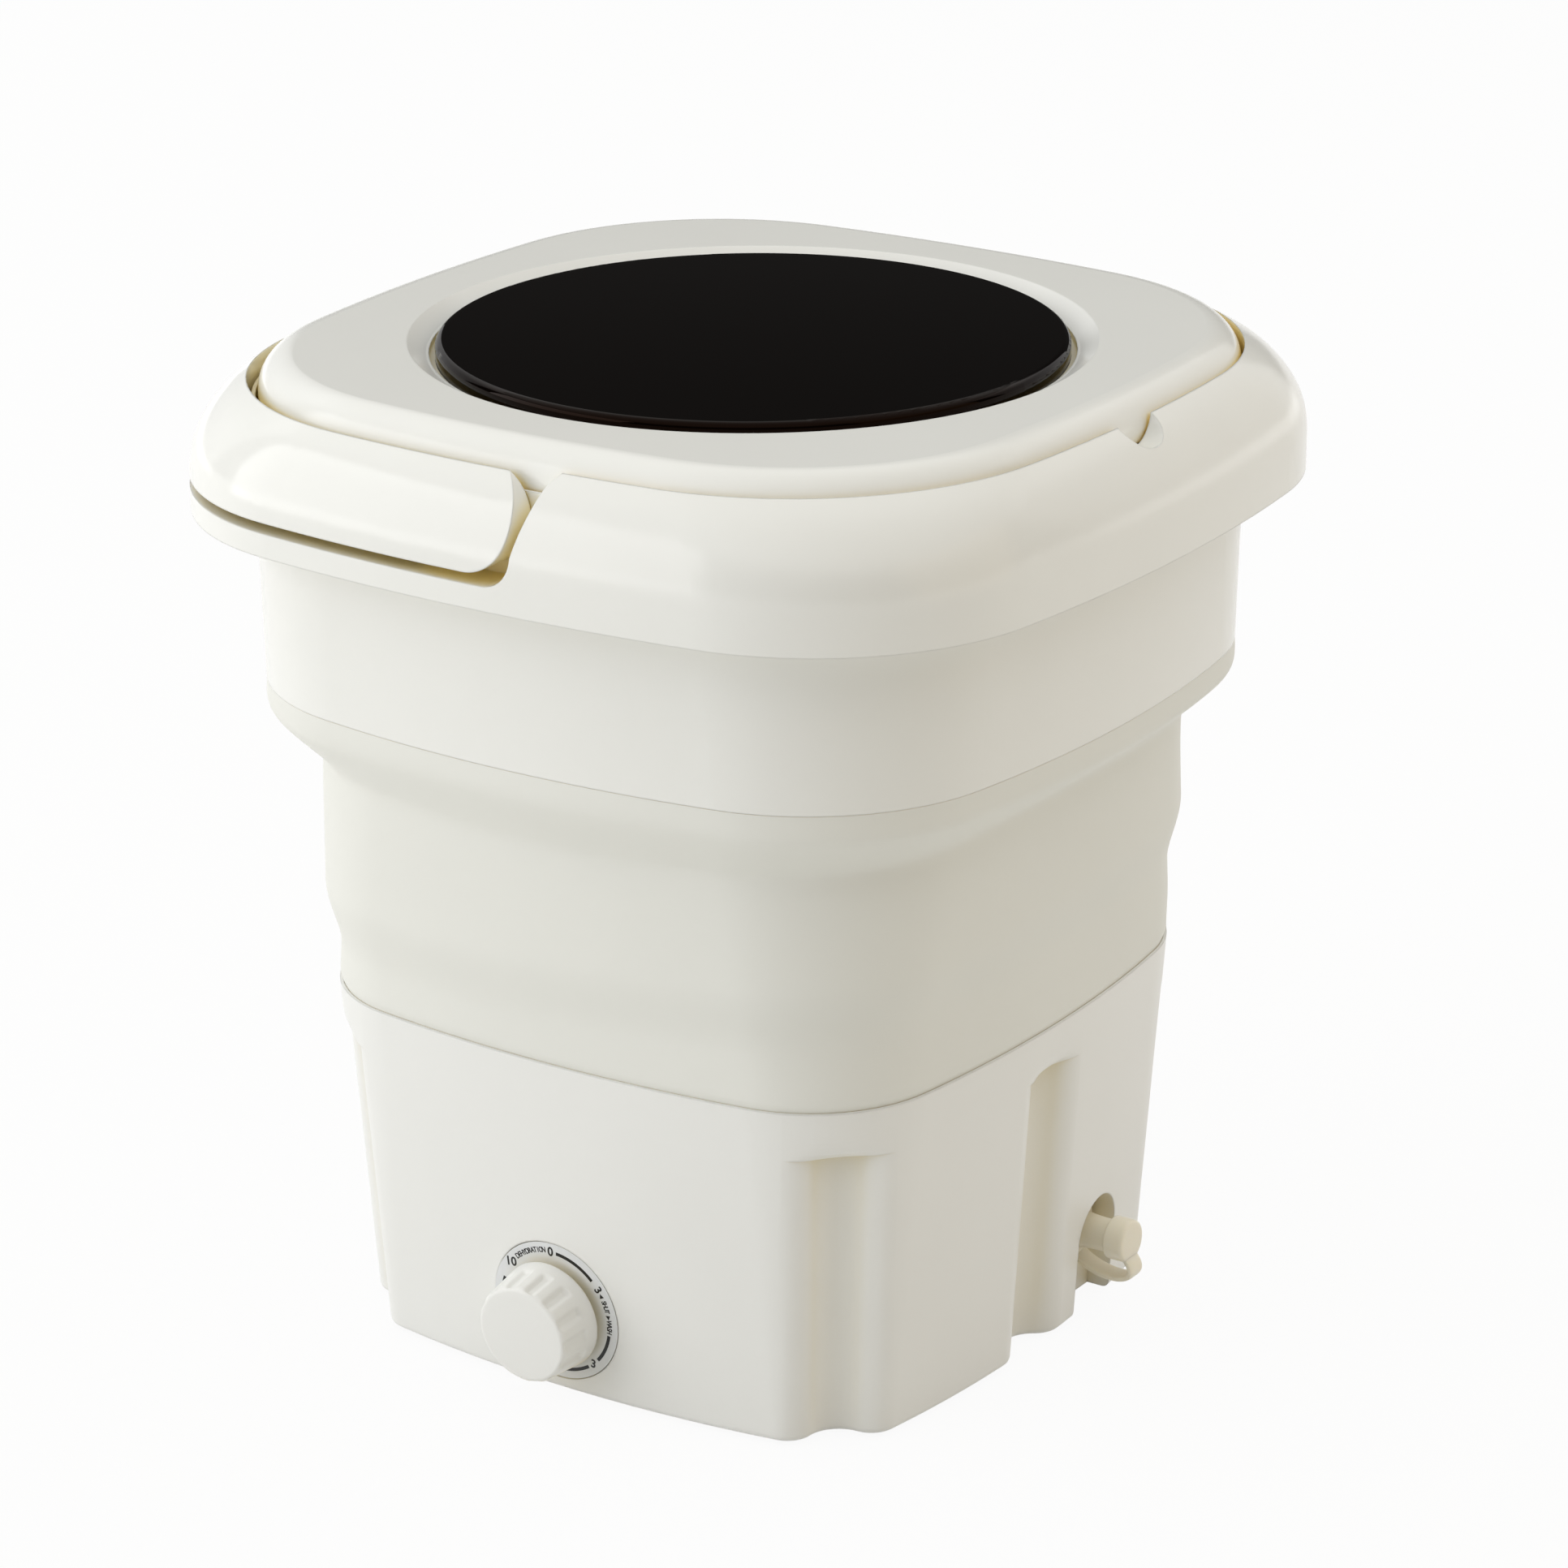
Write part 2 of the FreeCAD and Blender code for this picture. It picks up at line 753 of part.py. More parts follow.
def handle():
    ring = rim_dome(0.0).cut(prism(handle_inner, rim_bottom_z - overrun, crown_z + overrun))
    low = handle_pivot_z - handle_end_radius
    arm = box((-reach, -reach, low), (0, reach, crown_z + overrun))
    ends = rod_y(handle_end_radius, -reach, reach, 0, handle_pivot_z)
    grip = ring.common(arm.fuse(ends))
    core_low = rim_bottom_z - handle_wall - overrun
    core_inner = prism(inset(handle_inner, -handle_wall), core_low, crown_z + overrun)
    core = rim_dome(handle_wall).cut(core_inner)
    room = box((-reach, -reach, low - overrun), (-handle_end_radius - handle_wall, reach, crown_z))
    grip = grip.cut(core.common(room))
    end_y = handle_inner[0] + pivot_reach + seat_gap
    return grip.cut(rod_y(pivot_radius + fit_gap, -end_y, end_y, 0, handle_pivot_z))


def pivot_pins():
    pins = []
    band_inner = band_top[0] - band_wall
    end_y = handle_inner[0] + pivot_reach
    head_y = band_inner - pivot_head
    for side in (-1, 1):
        shank = sorted((side * (head_y + pivot_head / 2), side * end_y))
        head = sorted((side * head_y, side * (band_inner - pivot_head_gap)))
        pin = rod_y(pivot_radius, *shank, 0, handle_pivot_z)
        pins.append(pin.fuse(rod_y(pivot_head_radius, *head, 0, handle_pivot_z)))
    return Part.makeCompound(pins)


# Lid with its dished window seat
seat_radius = window_radius + window_gap
ledge_radius = seat_radius - seat_width
window_ring = window_radius - window_wall / 2
window_spots = ring_spots(window_screw_count, window_ring, window_screw_turn)
ledge_under_z = window_seat_z - seat_ledge
window_low_z = window_seat_z + gasket_thickness
window_screw_seat = ledge_under_z - retainer_thickness
window_screw_tip = window_edge_z - window_round


def lid_frame():
    lid = domed_prism(lid_outline, lid_bottom_z, lid_top_z, lid_round)
    under_section = inset(lid_outline, lid_wall)
    under = domed_prism(under_section, lid_bottom_z - overrun, lid_top_z - lid_wall, lid_round - lid_wall)
    lid = lid.cut(under)
    lid = lid.fuse(tube(dish_radius + lid_wall, ledge_radius, ledge_under_z, lid_top_z - lid_wall / 2))
    dish_inner = dish_radius - dish_width
    dish = Part.makeCone(dish_inner, dish_radius, dish_depth, Vector(0, 0, lid_top_z - dish_depth))
    lid = lid.cut(dish)
    lid = lid.cut(cylinder(seat_radius, window_seat_z, lid_top_z + overrun))
    lid = lid.cut(cylinder(ledge_radius, ledge_under_z - overrun, lid_top_z + overrun))
    return lid.cut(holes(window_spots, ledge_under_z - overrun, window_seat_z + overrun))


def window():
    crown_z = window_edge_z + window_crown
    inner_radius = window_radius - window_wall
    shoulder = window_radius - window_round
    rim_middle = window_round / math.sqrt(2)
    rim_z = window_edge_z - window_round
    sphere = (shoulder ** 2 + window_crown ** 2) / (2 * window_crown)
    half_way = shoulder / 2
    half_z = crown_z - sphere + math.sqrt(sphere ** 2 - half_way ** 2)
    roof = window_wall
    top = arc(Vector(0, 0, crown_z), Vector(half_way, 0, half_z), Vector(shoulder, 0, window_edge_z))
    edge_middle = Vector(shoulder + rim_middle, 0, rim_z + rim_middle)
    edge = arc(Vector(shoulder, 0, window_edge_z), edge_middle, Vector(window_radius, 0, rim_z))
    path = [
        Vector(window_radius, 0, rim_z),
        Vector(window_radius, 0, window_low_z),
        Vector(inner_radius, 0, window_low_z),
        Vector(inner_radius, 0, window_edge_z - roof),
        Vector(0, 0, crown_z - roof),
        Vector(0, 0, crown_z),
    ]
    lines = [Part.makeLine(a, b) for a, b in zip(path, path[1:])]
    glass = Part.Face(Part.Wire([top, edge] + lines)).revolve(Vector(), Vector(0, 0, 1), 360)
    return glass.cut(holes(window_spots, window_low_z - overrun, window_screw_tip + screw_end_room))


def window_gasket():
    ring = tube(window_radius, window_radius - window_wall - gasket_lap, window_seat_z, window_low_z)
    return ring.cut(holes(window_spots, window_seat_z - overrun, window_low_z + overrun))


def window_retainer():
    ring = tube(window_radius + retainer_lap, ledge_radius - retainer_lap, window_screw_seat, ledge_under_z)
    return ring.cut(holes(window_spots, window_screw_seat - overrun, ledge_under_z + overrun))


def lid_seal():
    ring = prism(inset(lid_outline, seal_inset), band_top_z, lid_bottom_z)
    return ring.cut(prism(inset(lid_outline, lid_wall), band_top_z, lid_bottom_z))


# Dial, knob and spring timer
timer_face = -base_wall - timer_pad
timer_back = timer_face - timer_depth
dial_face = dial_thickness - dial_seat
shaft_tail = timer_back + shaft_end_cover
shaft_tip = knob_back + knob_socket_depth


def dial_plate():
    plate = cylinder(dial_radius, -dial_seat, dial_face)
    return on_front(plate.cut(cylinder(bushing_radius + fit_gap, -dial_seat, dial_face)))


def knob():
    back = [(0, knob_back), (knob_back_radius, knob_back)]
    front = [(knob_front_radius, knob_front), (0, knob_front)]
    body = revolve(back + front)
    rims = [edge for edge in body.Edges if edge.BoundBox.ZMin > knob_front - fit_gap]
    body = body.makeFillet(knob_edge_round, rims)
    grooves = []
    for spot in ring_spots(knob_grips, 1.0):
        low = spot * (knob_back_radius + knob_grip_radius - knob_grip_depth)
        high = spot * (knob_front_radius + knob_grip_radius - knob_grip_depth)
        start = Vector(low.x, low.y, knob_back)
        lean = Vector(high.x, high.y, knob_front) - start
        grooves.append(Part.makeCylinder(knob_grip_radius, lean.Length, start, lean))
    body = body.cut(Part.makeCompound(grooves))
    body = body.cut(cylinder(knob_pocket_radius, knob_back, knob_back + knob_pocket_depth))
    return on_front(body.cut(cylinder(shaft_radius + fit_gap, knob_back, shaft_tip)))


def timer_shaft():
    return on_front(cylinder(shaft_radius, shaft_tail, shaft_tip))


def timer_body():
    half = timer_side / 2
    case = box((-half, -half, timer_back), (half, half, timer_face))
    case = case.fuse(cylinder(bushing_radius, timer_face, dial_face + nut_height + bushing_proud))
    return on_front(case.cut(cylinder(shaft_radius + fit_gap, shaft_tail - overrun, knob_front)))


def timer_nut():
    return on_front(hex_nut(nut_flats, bushing_radius, dial_face, dial_face + nut_height))


# Drain spout, hose and cap
def drain_spout():
    inside = niche_floor_x - niche_wall
    spout = rod_x(spout_radius, inside - spout_nipple, spout_end_x, drain_y, drain_z)
    flange = rod_x(spout_flange_radius, niche_floor_x, niche_floor_x + spout_flange, drain_y, drain_z)
    bore = rod_x(spout_bore, inside - spout_nipple - overrun, spout_end_x + overrun, drain_y, drain_z)
    return spout.fuse(flange).cut(bore)


def drain_hose():
    # Straight down from the tub outlet, one bend, then along the spout's nipple
    inside = niche_floor_x - niche_wall
    top = Vector(outlet_x, drain_y, floor_z)
    bend_top = Vector(outlet_x, drain_y, drain_z + hose_bend)
    bend_centre = bend_top + Vector(hose_bend, 0, 0)
    diagonal = hose_bend / math.sqrt(2)
    bend_middle = bend_centre + Vector(-diagonal, 0, -diagonal)
    bend_end = bend_centre + Vector(0, 0, -hose_bend)
    end = Vector(inside, drain_y, drain_z)
    bend = arc(bend_top, bend_middle, bend_end)
    path = Part.Wire([Part.makeLine(top, bend_top), bend, Part.makeLine(bend_end, end)])
    grip_radius = spout_radius + fit_gap
    skin_radius = grip_radius + hose_wall
    skin = path.makePipeShell([Part.Wire(Part.makeCircle(skin_radius, top))], True, False)
    bore = path.makePipeShell([Part.Wire(Part.makeCircle(spout_bore, top))], True, False)
    hose = skin.cut(bore)
    hose = hose.cut(cylinder(grip_radius, floor_z - outlet_drop, floor_z + overrun, outlet_x, drain_y))
    return hose.cut(rod_x(grip_radius, inside - spout_nipple, inside + overrun, drain_y, drain_z))


def drain_cap():
    cap = rod_x(cap_radius, cap_start_x, cap_end_x, drain_y, drain_z)
    bore = rod_x(spout_radius + fit_gap, cap_start_x - overrun, spout_end_x + fit_gap, drain_y, drain_z)
    cap = cap.cut(bore)
    strap_z = drain_z - cap_radius
    sag = side_curve(cap_end_x, strap_z + overrun, strap_reach, strap_drop)
    return cap.fuse(sag)


def side_curve(end_x, top_z, length, drop):
    # Thin strap that hangs from the cap's end and bows back under the spout
    low = drain_y - strap_width / 2
    start_x = end_x - length
    middle_x = end_x - length / 2
    bottom = top_z - drop
    root = Vector(end_x, low, top_z)
    tail = Vector(start_x, low, top_z - drop / 2)
    outer = arc(root, Vector(middle_x, low, bottom), tail)
    inner_end = Vector(end_x - strap_thickness * 1.5, low, top_z)
    inner_middle = Vector(middle_x, low, bottom + strap_thickness)
    inner_start = tail + Vector(strap_thickness, 0, strap_thickness)
    inner = arc(inner_start, inner_middle, inner_end)
    rim = Part.Wire([outer, Part.makeLine(tail, inner_start), inner, Part.makeLine(inner_end, root)])
    return Part.Face(rim).extrude(Vector(0, strap_width, 0))


# Motor and drive train
plate_top_z = motor_top_z + motor_plate
lower_bearing_z = motor_bottom_z + motor_wall
stator_mid_z = (motor_bottom_z + motor_top_z) / 2
housing_low_z = floor_top_z - housing_drop
housing_top_z = floor_top_z + housing_rise
pulsator_low_z = floor_top_z + pulsator_edge_lift
hub_top_z = pulsator_low_z + pulsator_edge + pulsator_crown
hub_low_z = housing_top_z + hub_gap
shaft_top_z = hub_top_z - hub_cap
fin_top_z = hub_top_z + fin_rise


def motor_housing():
    can = cylinder(motor_radius, motor_bottom_z, motor_top_z)
    can = can.fuse(cylinder(motor_flange_radius, motor_top_z - motor_wall, motor_top_z))
    can = can.cut(cylinder(motor_radius - motor_wall, motor_bottom_z + motor_wall, motor_top_z))
    cup_top = lower_bearing_z + bearing_height
    can = can.fuse(tube(bearing_radius + motor_wall, bearing_radius + fit_gap, lower_bearing_z, cup_top))
    return can.cut(holes(motor_spots, motor_top_z - motor_wall - overrun, motor_top_z + overrun))


def motor_plate_disc():
    disc = cylinder(motor_plate_radius, motor_top_z, plate_top_z)
    disc = disc.cut(cylinder(housing_radius + seat_gap, motor_top_z, plate_top_z))
    disc = disc.cut(holes(motor_spots, motor_top_z, plate_top_z))
    return disc.cut(holes(mount_spots, motor_top_z, plate_top_z))


def stator_core():
    low = stator_mid_z - stator_height / 2
    return tube(motor_radius - motor_wall - fit_gap, stator_inner, low, low + stator_height)


def stator_windings():
    low = stator_mid_z - stator_height / 2
    high = low + stator_height
    outer = motor_radius - motor_wall - winding_margin
    inner = stator_inner + winding_margin
    coils = [tube(outer, inner, low - winding_height, low), tube(outer, inner, high, high + winding_height)]
    return Part.makeCompound(coils)


def rotor_core():
    low = stator_mid_z - rotor_height / 2
    return tube(stator_inner - rotor_gap, shaft_r + fit_gap, low, low + rotor_height)


def bearing(low):
    return tube(bearing_radius, shaft_r + fit_gap, low, low + bearing_height)


def bearing_housing():
    body = cylinder(housing_radius, housing_low_z, housing_top_z)
    body = body.fuse(cylinder(housing_flange_radius, floor_top_z, floor_top_z + housing_flange))
    body = body.cut(cylinder(shaft_r + seat_gap, housing_low_z - overrun, housing_top_z + overrun))
    bearing_seat = cylinder(bearing_radius + fit_gap, housing_low_z - overrun, housing_low_z + bearing_height)
    seal_seat = cylinder(seal_radius + fit_gap, housing_top_z - seal_ring_height, housing_top_z + overrun)
    body = body.cut(bearing_seat).cut(seal_seat)
    return body.cut(holes(housing_spots, floor_top_z - overrun, floor_top_z + housing_flange + overrun))


def shaft_seal():
    return tube(seal_radius, shaft_r + fit_gap, housing_top_z - seal_ring_height, housing_top_z)


def drive_shaft():
    shaft = cylinder(shaft_r, lower_bearing_z + shaft_end_gap, shaft_top_z)
    return shaft.cut(cylinder(screw_radius + fit_gap, shaft_top_z - screw_bite, shaft_top_z))


def pulsator():
    edge_top = pulsator_low_z + pulsator_edge
    crown_under = hub_top_z - pulsator_edge
    neck = pulsator_neck
    disc = revolve([
        (0, hub_top_z),
        (neck, hub_top_z),
        (pulsator_radius, edge_top),
        (pulsator_radius, pulsator_low_z),
        (neck, crown_under),
        (pulsator_hub, crown_under),
        (pulsator_hub, hub_low_z),
        (0, hub_low_z),
    ])
    middle_z = pulsator_low_z + pulsator_edge / 2
    under = Part.makeCone(pulsator_radius, neck, crown_under - pulsator_low_z, Vector(0, 0, middle_z))
    fin_start = neck + fin_width / 2
    fin_end = pulsator_radius - fin_width
    fins = []
    for number in range(pulsator_fins):
        fin = box((fin_start, -fin_width / 2, middle_z), (fin_end, fin_width / 2, fin_top_z))
        fin.rotate(Vector(), Vector(0, 0, 1), 360.0 * number / pulsator_fins)
        fins.append(fin.cut(under))
    disc = disc.fuse(fins)
    disc = disc.cut(cylinder(shaft_r + fit_gap, hub_low_z - overrun, shaft_top_z))
    return disc.cut(cylinder(screw_radius + fit_gap, shaft_top_z - overrun, hub_top_z + overrun))


def spin_basket():
    low = fin_top_z
    high = low + basket_height
    body = Part.makeCone(basket_foot_radius, basket_top_radius, basket_height, Vector(0, 0, low))
    room = Part.makeCone(basket_foot_radius - basket_wall, basket_top_radius - basket_wall, basket_height,
                         Vector(0, 0, low + basket_wall))
    rim = tube(basket_top_radius + basket_rim, basket_top_radius - basket_wall, high - basket_rim, high)
    body = body.fuse(rim).cut(room)
    fin_tip = pulsator_radius - fin_width
    body = body.fuse(tube(fin_tip + seat_gap + basket_wall, fin_tip + seat_gap, low - fin_width, low))
    cuts = []
    for number in range(basket_slots // 2):
        half = slot_width / 2
        slot = box((-reach, -half, low + slot_margin), (reach, half, high - slot_margin))
        slot.rotate(Vector(), Vector(0, 0, 1), 360.0 * number / basket_slots)
        cuts.append(slot)
    drill = (slot_width / 2, low - overrun, low + basket_wall + overrun)
    for ring in basket_hole_rings:
        spots = ring_spots(basket_floor_holes, ring * basket_foot_radius)
        cuts += [cylinder(*drill, spot.x, spot.y) for spot in spots]
    return body.cut(Part.makeCompound(cuts))


# Electronics
board_z = cover_top_z + board_post_height
board_top_z = board_z + board_size[2]


def control_board():
    x, y = board_centre
    half_x = board_size[0] / 2
    half_y = board_size[1] / 2
    board = box((x - half_x, y - half_y, board_z), (x + half_x, y + half_y, board_top_z))
    return board.cut(holes(board_spots, board_z - overrun, board_top_z + overrun))


def on_board(size, x):
    # A block on the board, x from the board's middle
    low_x = board_centre[0] + x - size[0] / 2
    low_y = board_centre[1] - size[1] / 2
    return Part.makeBox(*size, Vector(low_x, low_y, board_top_z))


def board_components():
    can_x = board_centre[0] + capacitor_x
    can_top = board_top_z + capacitor_size[1]
    can = cylinder(capacitor_size[0] / 2, board_top_z, can_top, can_x, board_centre[1])
    blocks = [(relay_size, relay_x), (transistor_size, transistor_x), (connector_size, connector_x)]
    return Part.makeCompound([can] + [on_board(size, x) for size, x in blocks])


def lead(points, radius=lead_radius):
    # Round lead along straight runs joined by tangent arcs
    edges = []
    start = points[0]
    for before, corner, after in zip(points, points[1:], points[2:]):
        back = (before - corner).normalize()
        ahead = (after - corner).normalize()
        half_turn = (math.pi - back.getAngle(ahead)) / 2
        trim = lead_bend_share * min((before - corner).Length, (after - corner).Length)
        bend = trim / math.tan(half_turn)
        towards = (back + ahead).normalize()
        depth = bend / math.cos(half_turn) - bend
        arc_start = corner + back * trim
        arc_end = corner + ahead * trim
        edges.append(Part.makeLine(start, arc_start))
        edges.append(arc(arc_start, corner + towards * depth, arc_end))
        start = arc_end
    edges.append(Part.makeLine(start, points[-1]))
    path = Part.Wire(edges)
    section = Part.Wire(Part.makeCircle(radius, points[0], points[1] - points[0]))
    return path.makePipeShell([section], True, False)


def wiring():
    # From the power inlet, the motor and the timer to the connector on the board
    plug = Vector(board_centre[0] + connector_x, board_centre[1], board_top_z + connector_size[2])
    quarter = Vector(0, connector_size[1] / 4, 0)
    rear_pin = plug + quarter
    front_pin = plug - quarter
    inlet_end = on_back(Part.Vertex(0, 0, -inlet_depth - seat_gap)).Point
    timer_end = on_front(Part.Vertex(0, 0, timer_back - seat_gap)).Point
    over_rear = Vector(rear_pin.x, rear_pin.y, inlet_end.z)
    inlet_lead = lead([inlet_end, inlet_end - Vector(0, lead_run, 0), over_rear, rear_pin])
    motor_end = Vector(plug.x, motor_radius / 2, motor_bottom_z)
    over_front = Vector(front_pin.x, front_pin.y, lead_under_motor_z)
    under_motor = Vector(motor_end.x, motor_end.y, lead_under_motor_z)
    motor_lead = lead([front_pin, over_front, under_motor, motor_end])
    plug_front = Vector(plug.x, plug.y - connector_size[1] / 2, board_top_z + connector_size[2] / 2)
    timer_lead = lead([
        timer_end,
        timer_end + Vector(0, lead_run, 0),
        Vector(plug.x - lead_run / 4, -motor_radius, plug_front.z),
        plug_front - Vector(0, lead_run, 0),
        plug_front,
    ])
    return Part.makeCompound([inlet_lead, motor_lead, timer_lead])


def power_inlet():
    jack = cylinder(inlet_radius, -inlet_depth, 0.0)
    jack = jack.fuse(cylinder(inlet_flange_radius, -inlet_flange, 0.0))
    socket = tube(inlet_bore, inlet_pin, -inlet_socket, 0.0)
    return on_back(jack.cut(socket))


def inlet_nut():
    high = -base_wall - inlet_nut_gap
    return on_back(hex_nut(2 * (inlet_radius + inlet_nut_rim), inlet_radius, high - inlet_nut_height, high))


def rubber_feet():
    feet = []
    for spot in square_spots(foot_span, foot_span):
        feet.append(cylinder(foot_radius, 0.0, cover_z, spot.x, spot.y))
    return Part.makeCompound(feet)


def group(pieces):
    return Part.makeCompound(list(pieces))


parts = {
    "base_shell": base_shell(),
    "bottom_cover": cover_plate(),
    "rubber_feet": rubber_feet(),
    "cover_screws": group(
        screw_up(spot, cover_z + screw_head, cover_top_z + screw_bite) for spot in cover_spots),
    "tub_floor": tub_floor(),
    "tub_screws": group(tub_screw(spot) for spot in tub_screw_spots),
    "bellows_wall": bellows(),
    "tub_band": tub_band(),
    "rim_collar": rim_collar(),
    "collar_screws": group(screw_up(spot, band_flange_z, collar_screw_tip) for spot in collar_spots),
    "carry_handle": handle(),
    "handle_pivots": pivot_pins(),
    "lid_frame": lid_frame(),
    "lid_window": window(),
    "window_gasket": window_gasket(),
    "window_retainer": window_retainer(),
    "window_screws": group(screw_up(spot, window_screw_seat, window_screw_tip) for spot in window_spots),
    "lid_seal": lid_seal(),
    "dial_plate": dial_plate(),
    "timer_knob": knob(),
    "timer_shaft": timer_shaft(),
    "timer_body": timer_body(),
    "timer_nut": timer_nut(),
    "drain_spout": drain_spout(),
    "drain_hose": drain_hose(),
    "drain_cap": drain_cap(),
    "motor_housing": motor_housing(),
    "motor_plate": motor_plate_disc(),
    "motor_screws": group(screw_up(spot, motor_top_z - motor_wall, plate_top_z) for spot in motor_spots),
    "mount_screws": group(screw_up(spot, motor_top_z, floor_z) for spot in mount_spots),
    "stator_core": stator_core(),
    "stator_windings": stator_windings(),
    "rotor_core": rotor_core(),
    "lower_bearing": bearing(lower_bearing_z),
    "upper_bearing": bearing(housing_low_z),
    "bearing_housing": bearing_housing(),
    "housing_screws": group(
        screw_down(spot, floor_top_z + housing_flange, floor_z) for spot in housing_spots),
    "shaft_seal": shaft_seal(),
    "drive_shaft": drive_shaft(),
    "pulsator": pulsator(),
    "pulsator_screw": screw_down(Vector(), hub_top_z, shaft_top_z - screw_bite + tip_room),
    "spin_basket": spin_basket(),
    "control_board": control_board(),
    "board_components": board_components(),
    "board_screws": group(screw_down(spot, board_top_z, cover_top_z) for spot in board_spots),
    "wiring_leads": wiring(),
    "power_inlet": power_inlet(),
    "inlet_nut": inlet_nut(),
}

os.makedirs("parts", exist_ok=True)
for name, shape in parts.items():
    shape.exportStep("parts/" + name + ".step")
    print(name, len(shape.Solids), "solids", round(shape.Volume / 1000, 1), "cm3", shape.isValid())
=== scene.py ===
import json
import math

import bpy
import numpy as np
from mathutils import Matrix, Vector


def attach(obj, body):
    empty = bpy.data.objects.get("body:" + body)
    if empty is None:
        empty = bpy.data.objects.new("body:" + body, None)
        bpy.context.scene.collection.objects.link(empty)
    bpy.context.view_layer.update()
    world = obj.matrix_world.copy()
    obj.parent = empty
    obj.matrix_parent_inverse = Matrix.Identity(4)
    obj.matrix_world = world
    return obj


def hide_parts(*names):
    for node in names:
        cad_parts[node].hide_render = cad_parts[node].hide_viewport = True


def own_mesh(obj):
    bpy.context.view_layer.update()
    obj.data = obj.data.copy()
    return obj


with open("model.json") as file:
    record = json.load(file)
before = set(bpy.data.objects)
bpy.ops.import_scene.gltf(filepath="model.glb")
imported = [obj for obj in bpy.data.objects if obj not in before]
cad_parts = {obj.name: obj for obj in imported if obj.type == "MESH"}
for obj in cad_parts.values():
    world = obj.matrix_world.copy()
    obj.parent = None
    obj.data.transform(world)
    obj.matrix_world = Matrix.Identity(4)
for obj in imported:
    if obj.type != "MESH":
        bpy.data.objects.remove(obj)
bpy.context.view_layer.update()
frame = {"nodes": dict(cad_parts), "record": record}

nodes = frame["nodes"]
record = frame["record"]
mm = 0.001
print("frame loaded:", len(nodes), "nodes")


def linear(hexColour):
    # sRGB hex to the linear colour that shader sockets take
    parts = [int(hexColour[i:i + 2], 16) / 255 for i in (1, 3, 5)]
    return tuple(c / 12.92 if c <= 0.04045 else ((c + 0.055) / 1.055) ** 2.4 for c in parts) + (1.0,)


def addNode(tree, kind, settings=None, **links):
    # settings are the node's own properties and unlinked inputs, links name the sockets that feed its inputs
    node = tree.nodes.new(kind)
    for name, value in (settings or {}).items():
        if name in node.inputs:
            node.inputs[name].default_value = value
        else:
            setattr(node, name, value)
    for name, socket in links.items():
        tree.links.new(socket, node.inputs[name])
    return node


# Camera, solved from the rounded-square outlines of rim, band and base in the photograph
cameraSet = {
    "place": (1.1038, -1.6280, 0.9304),
    "azimuth": 33.83,      # degrees from the front towards the drain side
    "elevation": 20.26,
    "roll": -0.26,
    "lens": 127.33,        # mm
    "sensor": 36.0,
}


def makeCamera(s):
    camera = bpy.data.objects.new("camera", bpy.data.cameras.new("camera"))
    camera.data.lens = s["lens"]
    camera.data.sensor_width = s["sensor"]
    turn = Matrix.Rotation(math.radians(s["azimuth"]), 4, "Z")
    tilt = Matrix.Rotation(math.radians(90 - s["elevation"]), 4, "X")
    roll = Matrix.Rotation(math.radians(s["roll"]), 4, "Z")
    camera.matrix_world = Matrix.Translation(s["place"]) @ turn @ tilt @ roll
    bpy.context.scene.collection.objects.link(camera)
    bpy.context.scene.camera = camera


# Soft studio: a large low box at the front left, a warm box on the drain side, weaker ones behind and a
# bright ceiling
studio = {
    "floorSize": 40.0,
    "floorColour": "#e4e4e2",
    "lift": 0.93,              # how far the floor is lifted to white where it is seen
    "skyColour": "#f6f6f3",
    "skyStrength": 1.16,
    "skyLow": 0.04,            # share of that strength below the ceiling's edge
    "skyEdge": (0.42, 0.75),   # sine of the elevation where the ceiling begins and where it is full
    "aim": (0.0, 0.0, 0.2),    # the lamps point here
    "lamps": [
        # name, azimuth, elevation, distance m, size m, watts, colour
        ("frontBox", -42, 10, 2.4, 2.6, 46, "#ffffff"),
        ("sideBox", 96, 18, 2.6, 2.2, 10, "#ffe6bc"),
        ("backBox", 158, 18, 2.6, 2.4, 13, "#ffffff"),
        ("leftBox", -110, 20, 2.6, 2.2, 9, "#ffffff"),
    ],
}


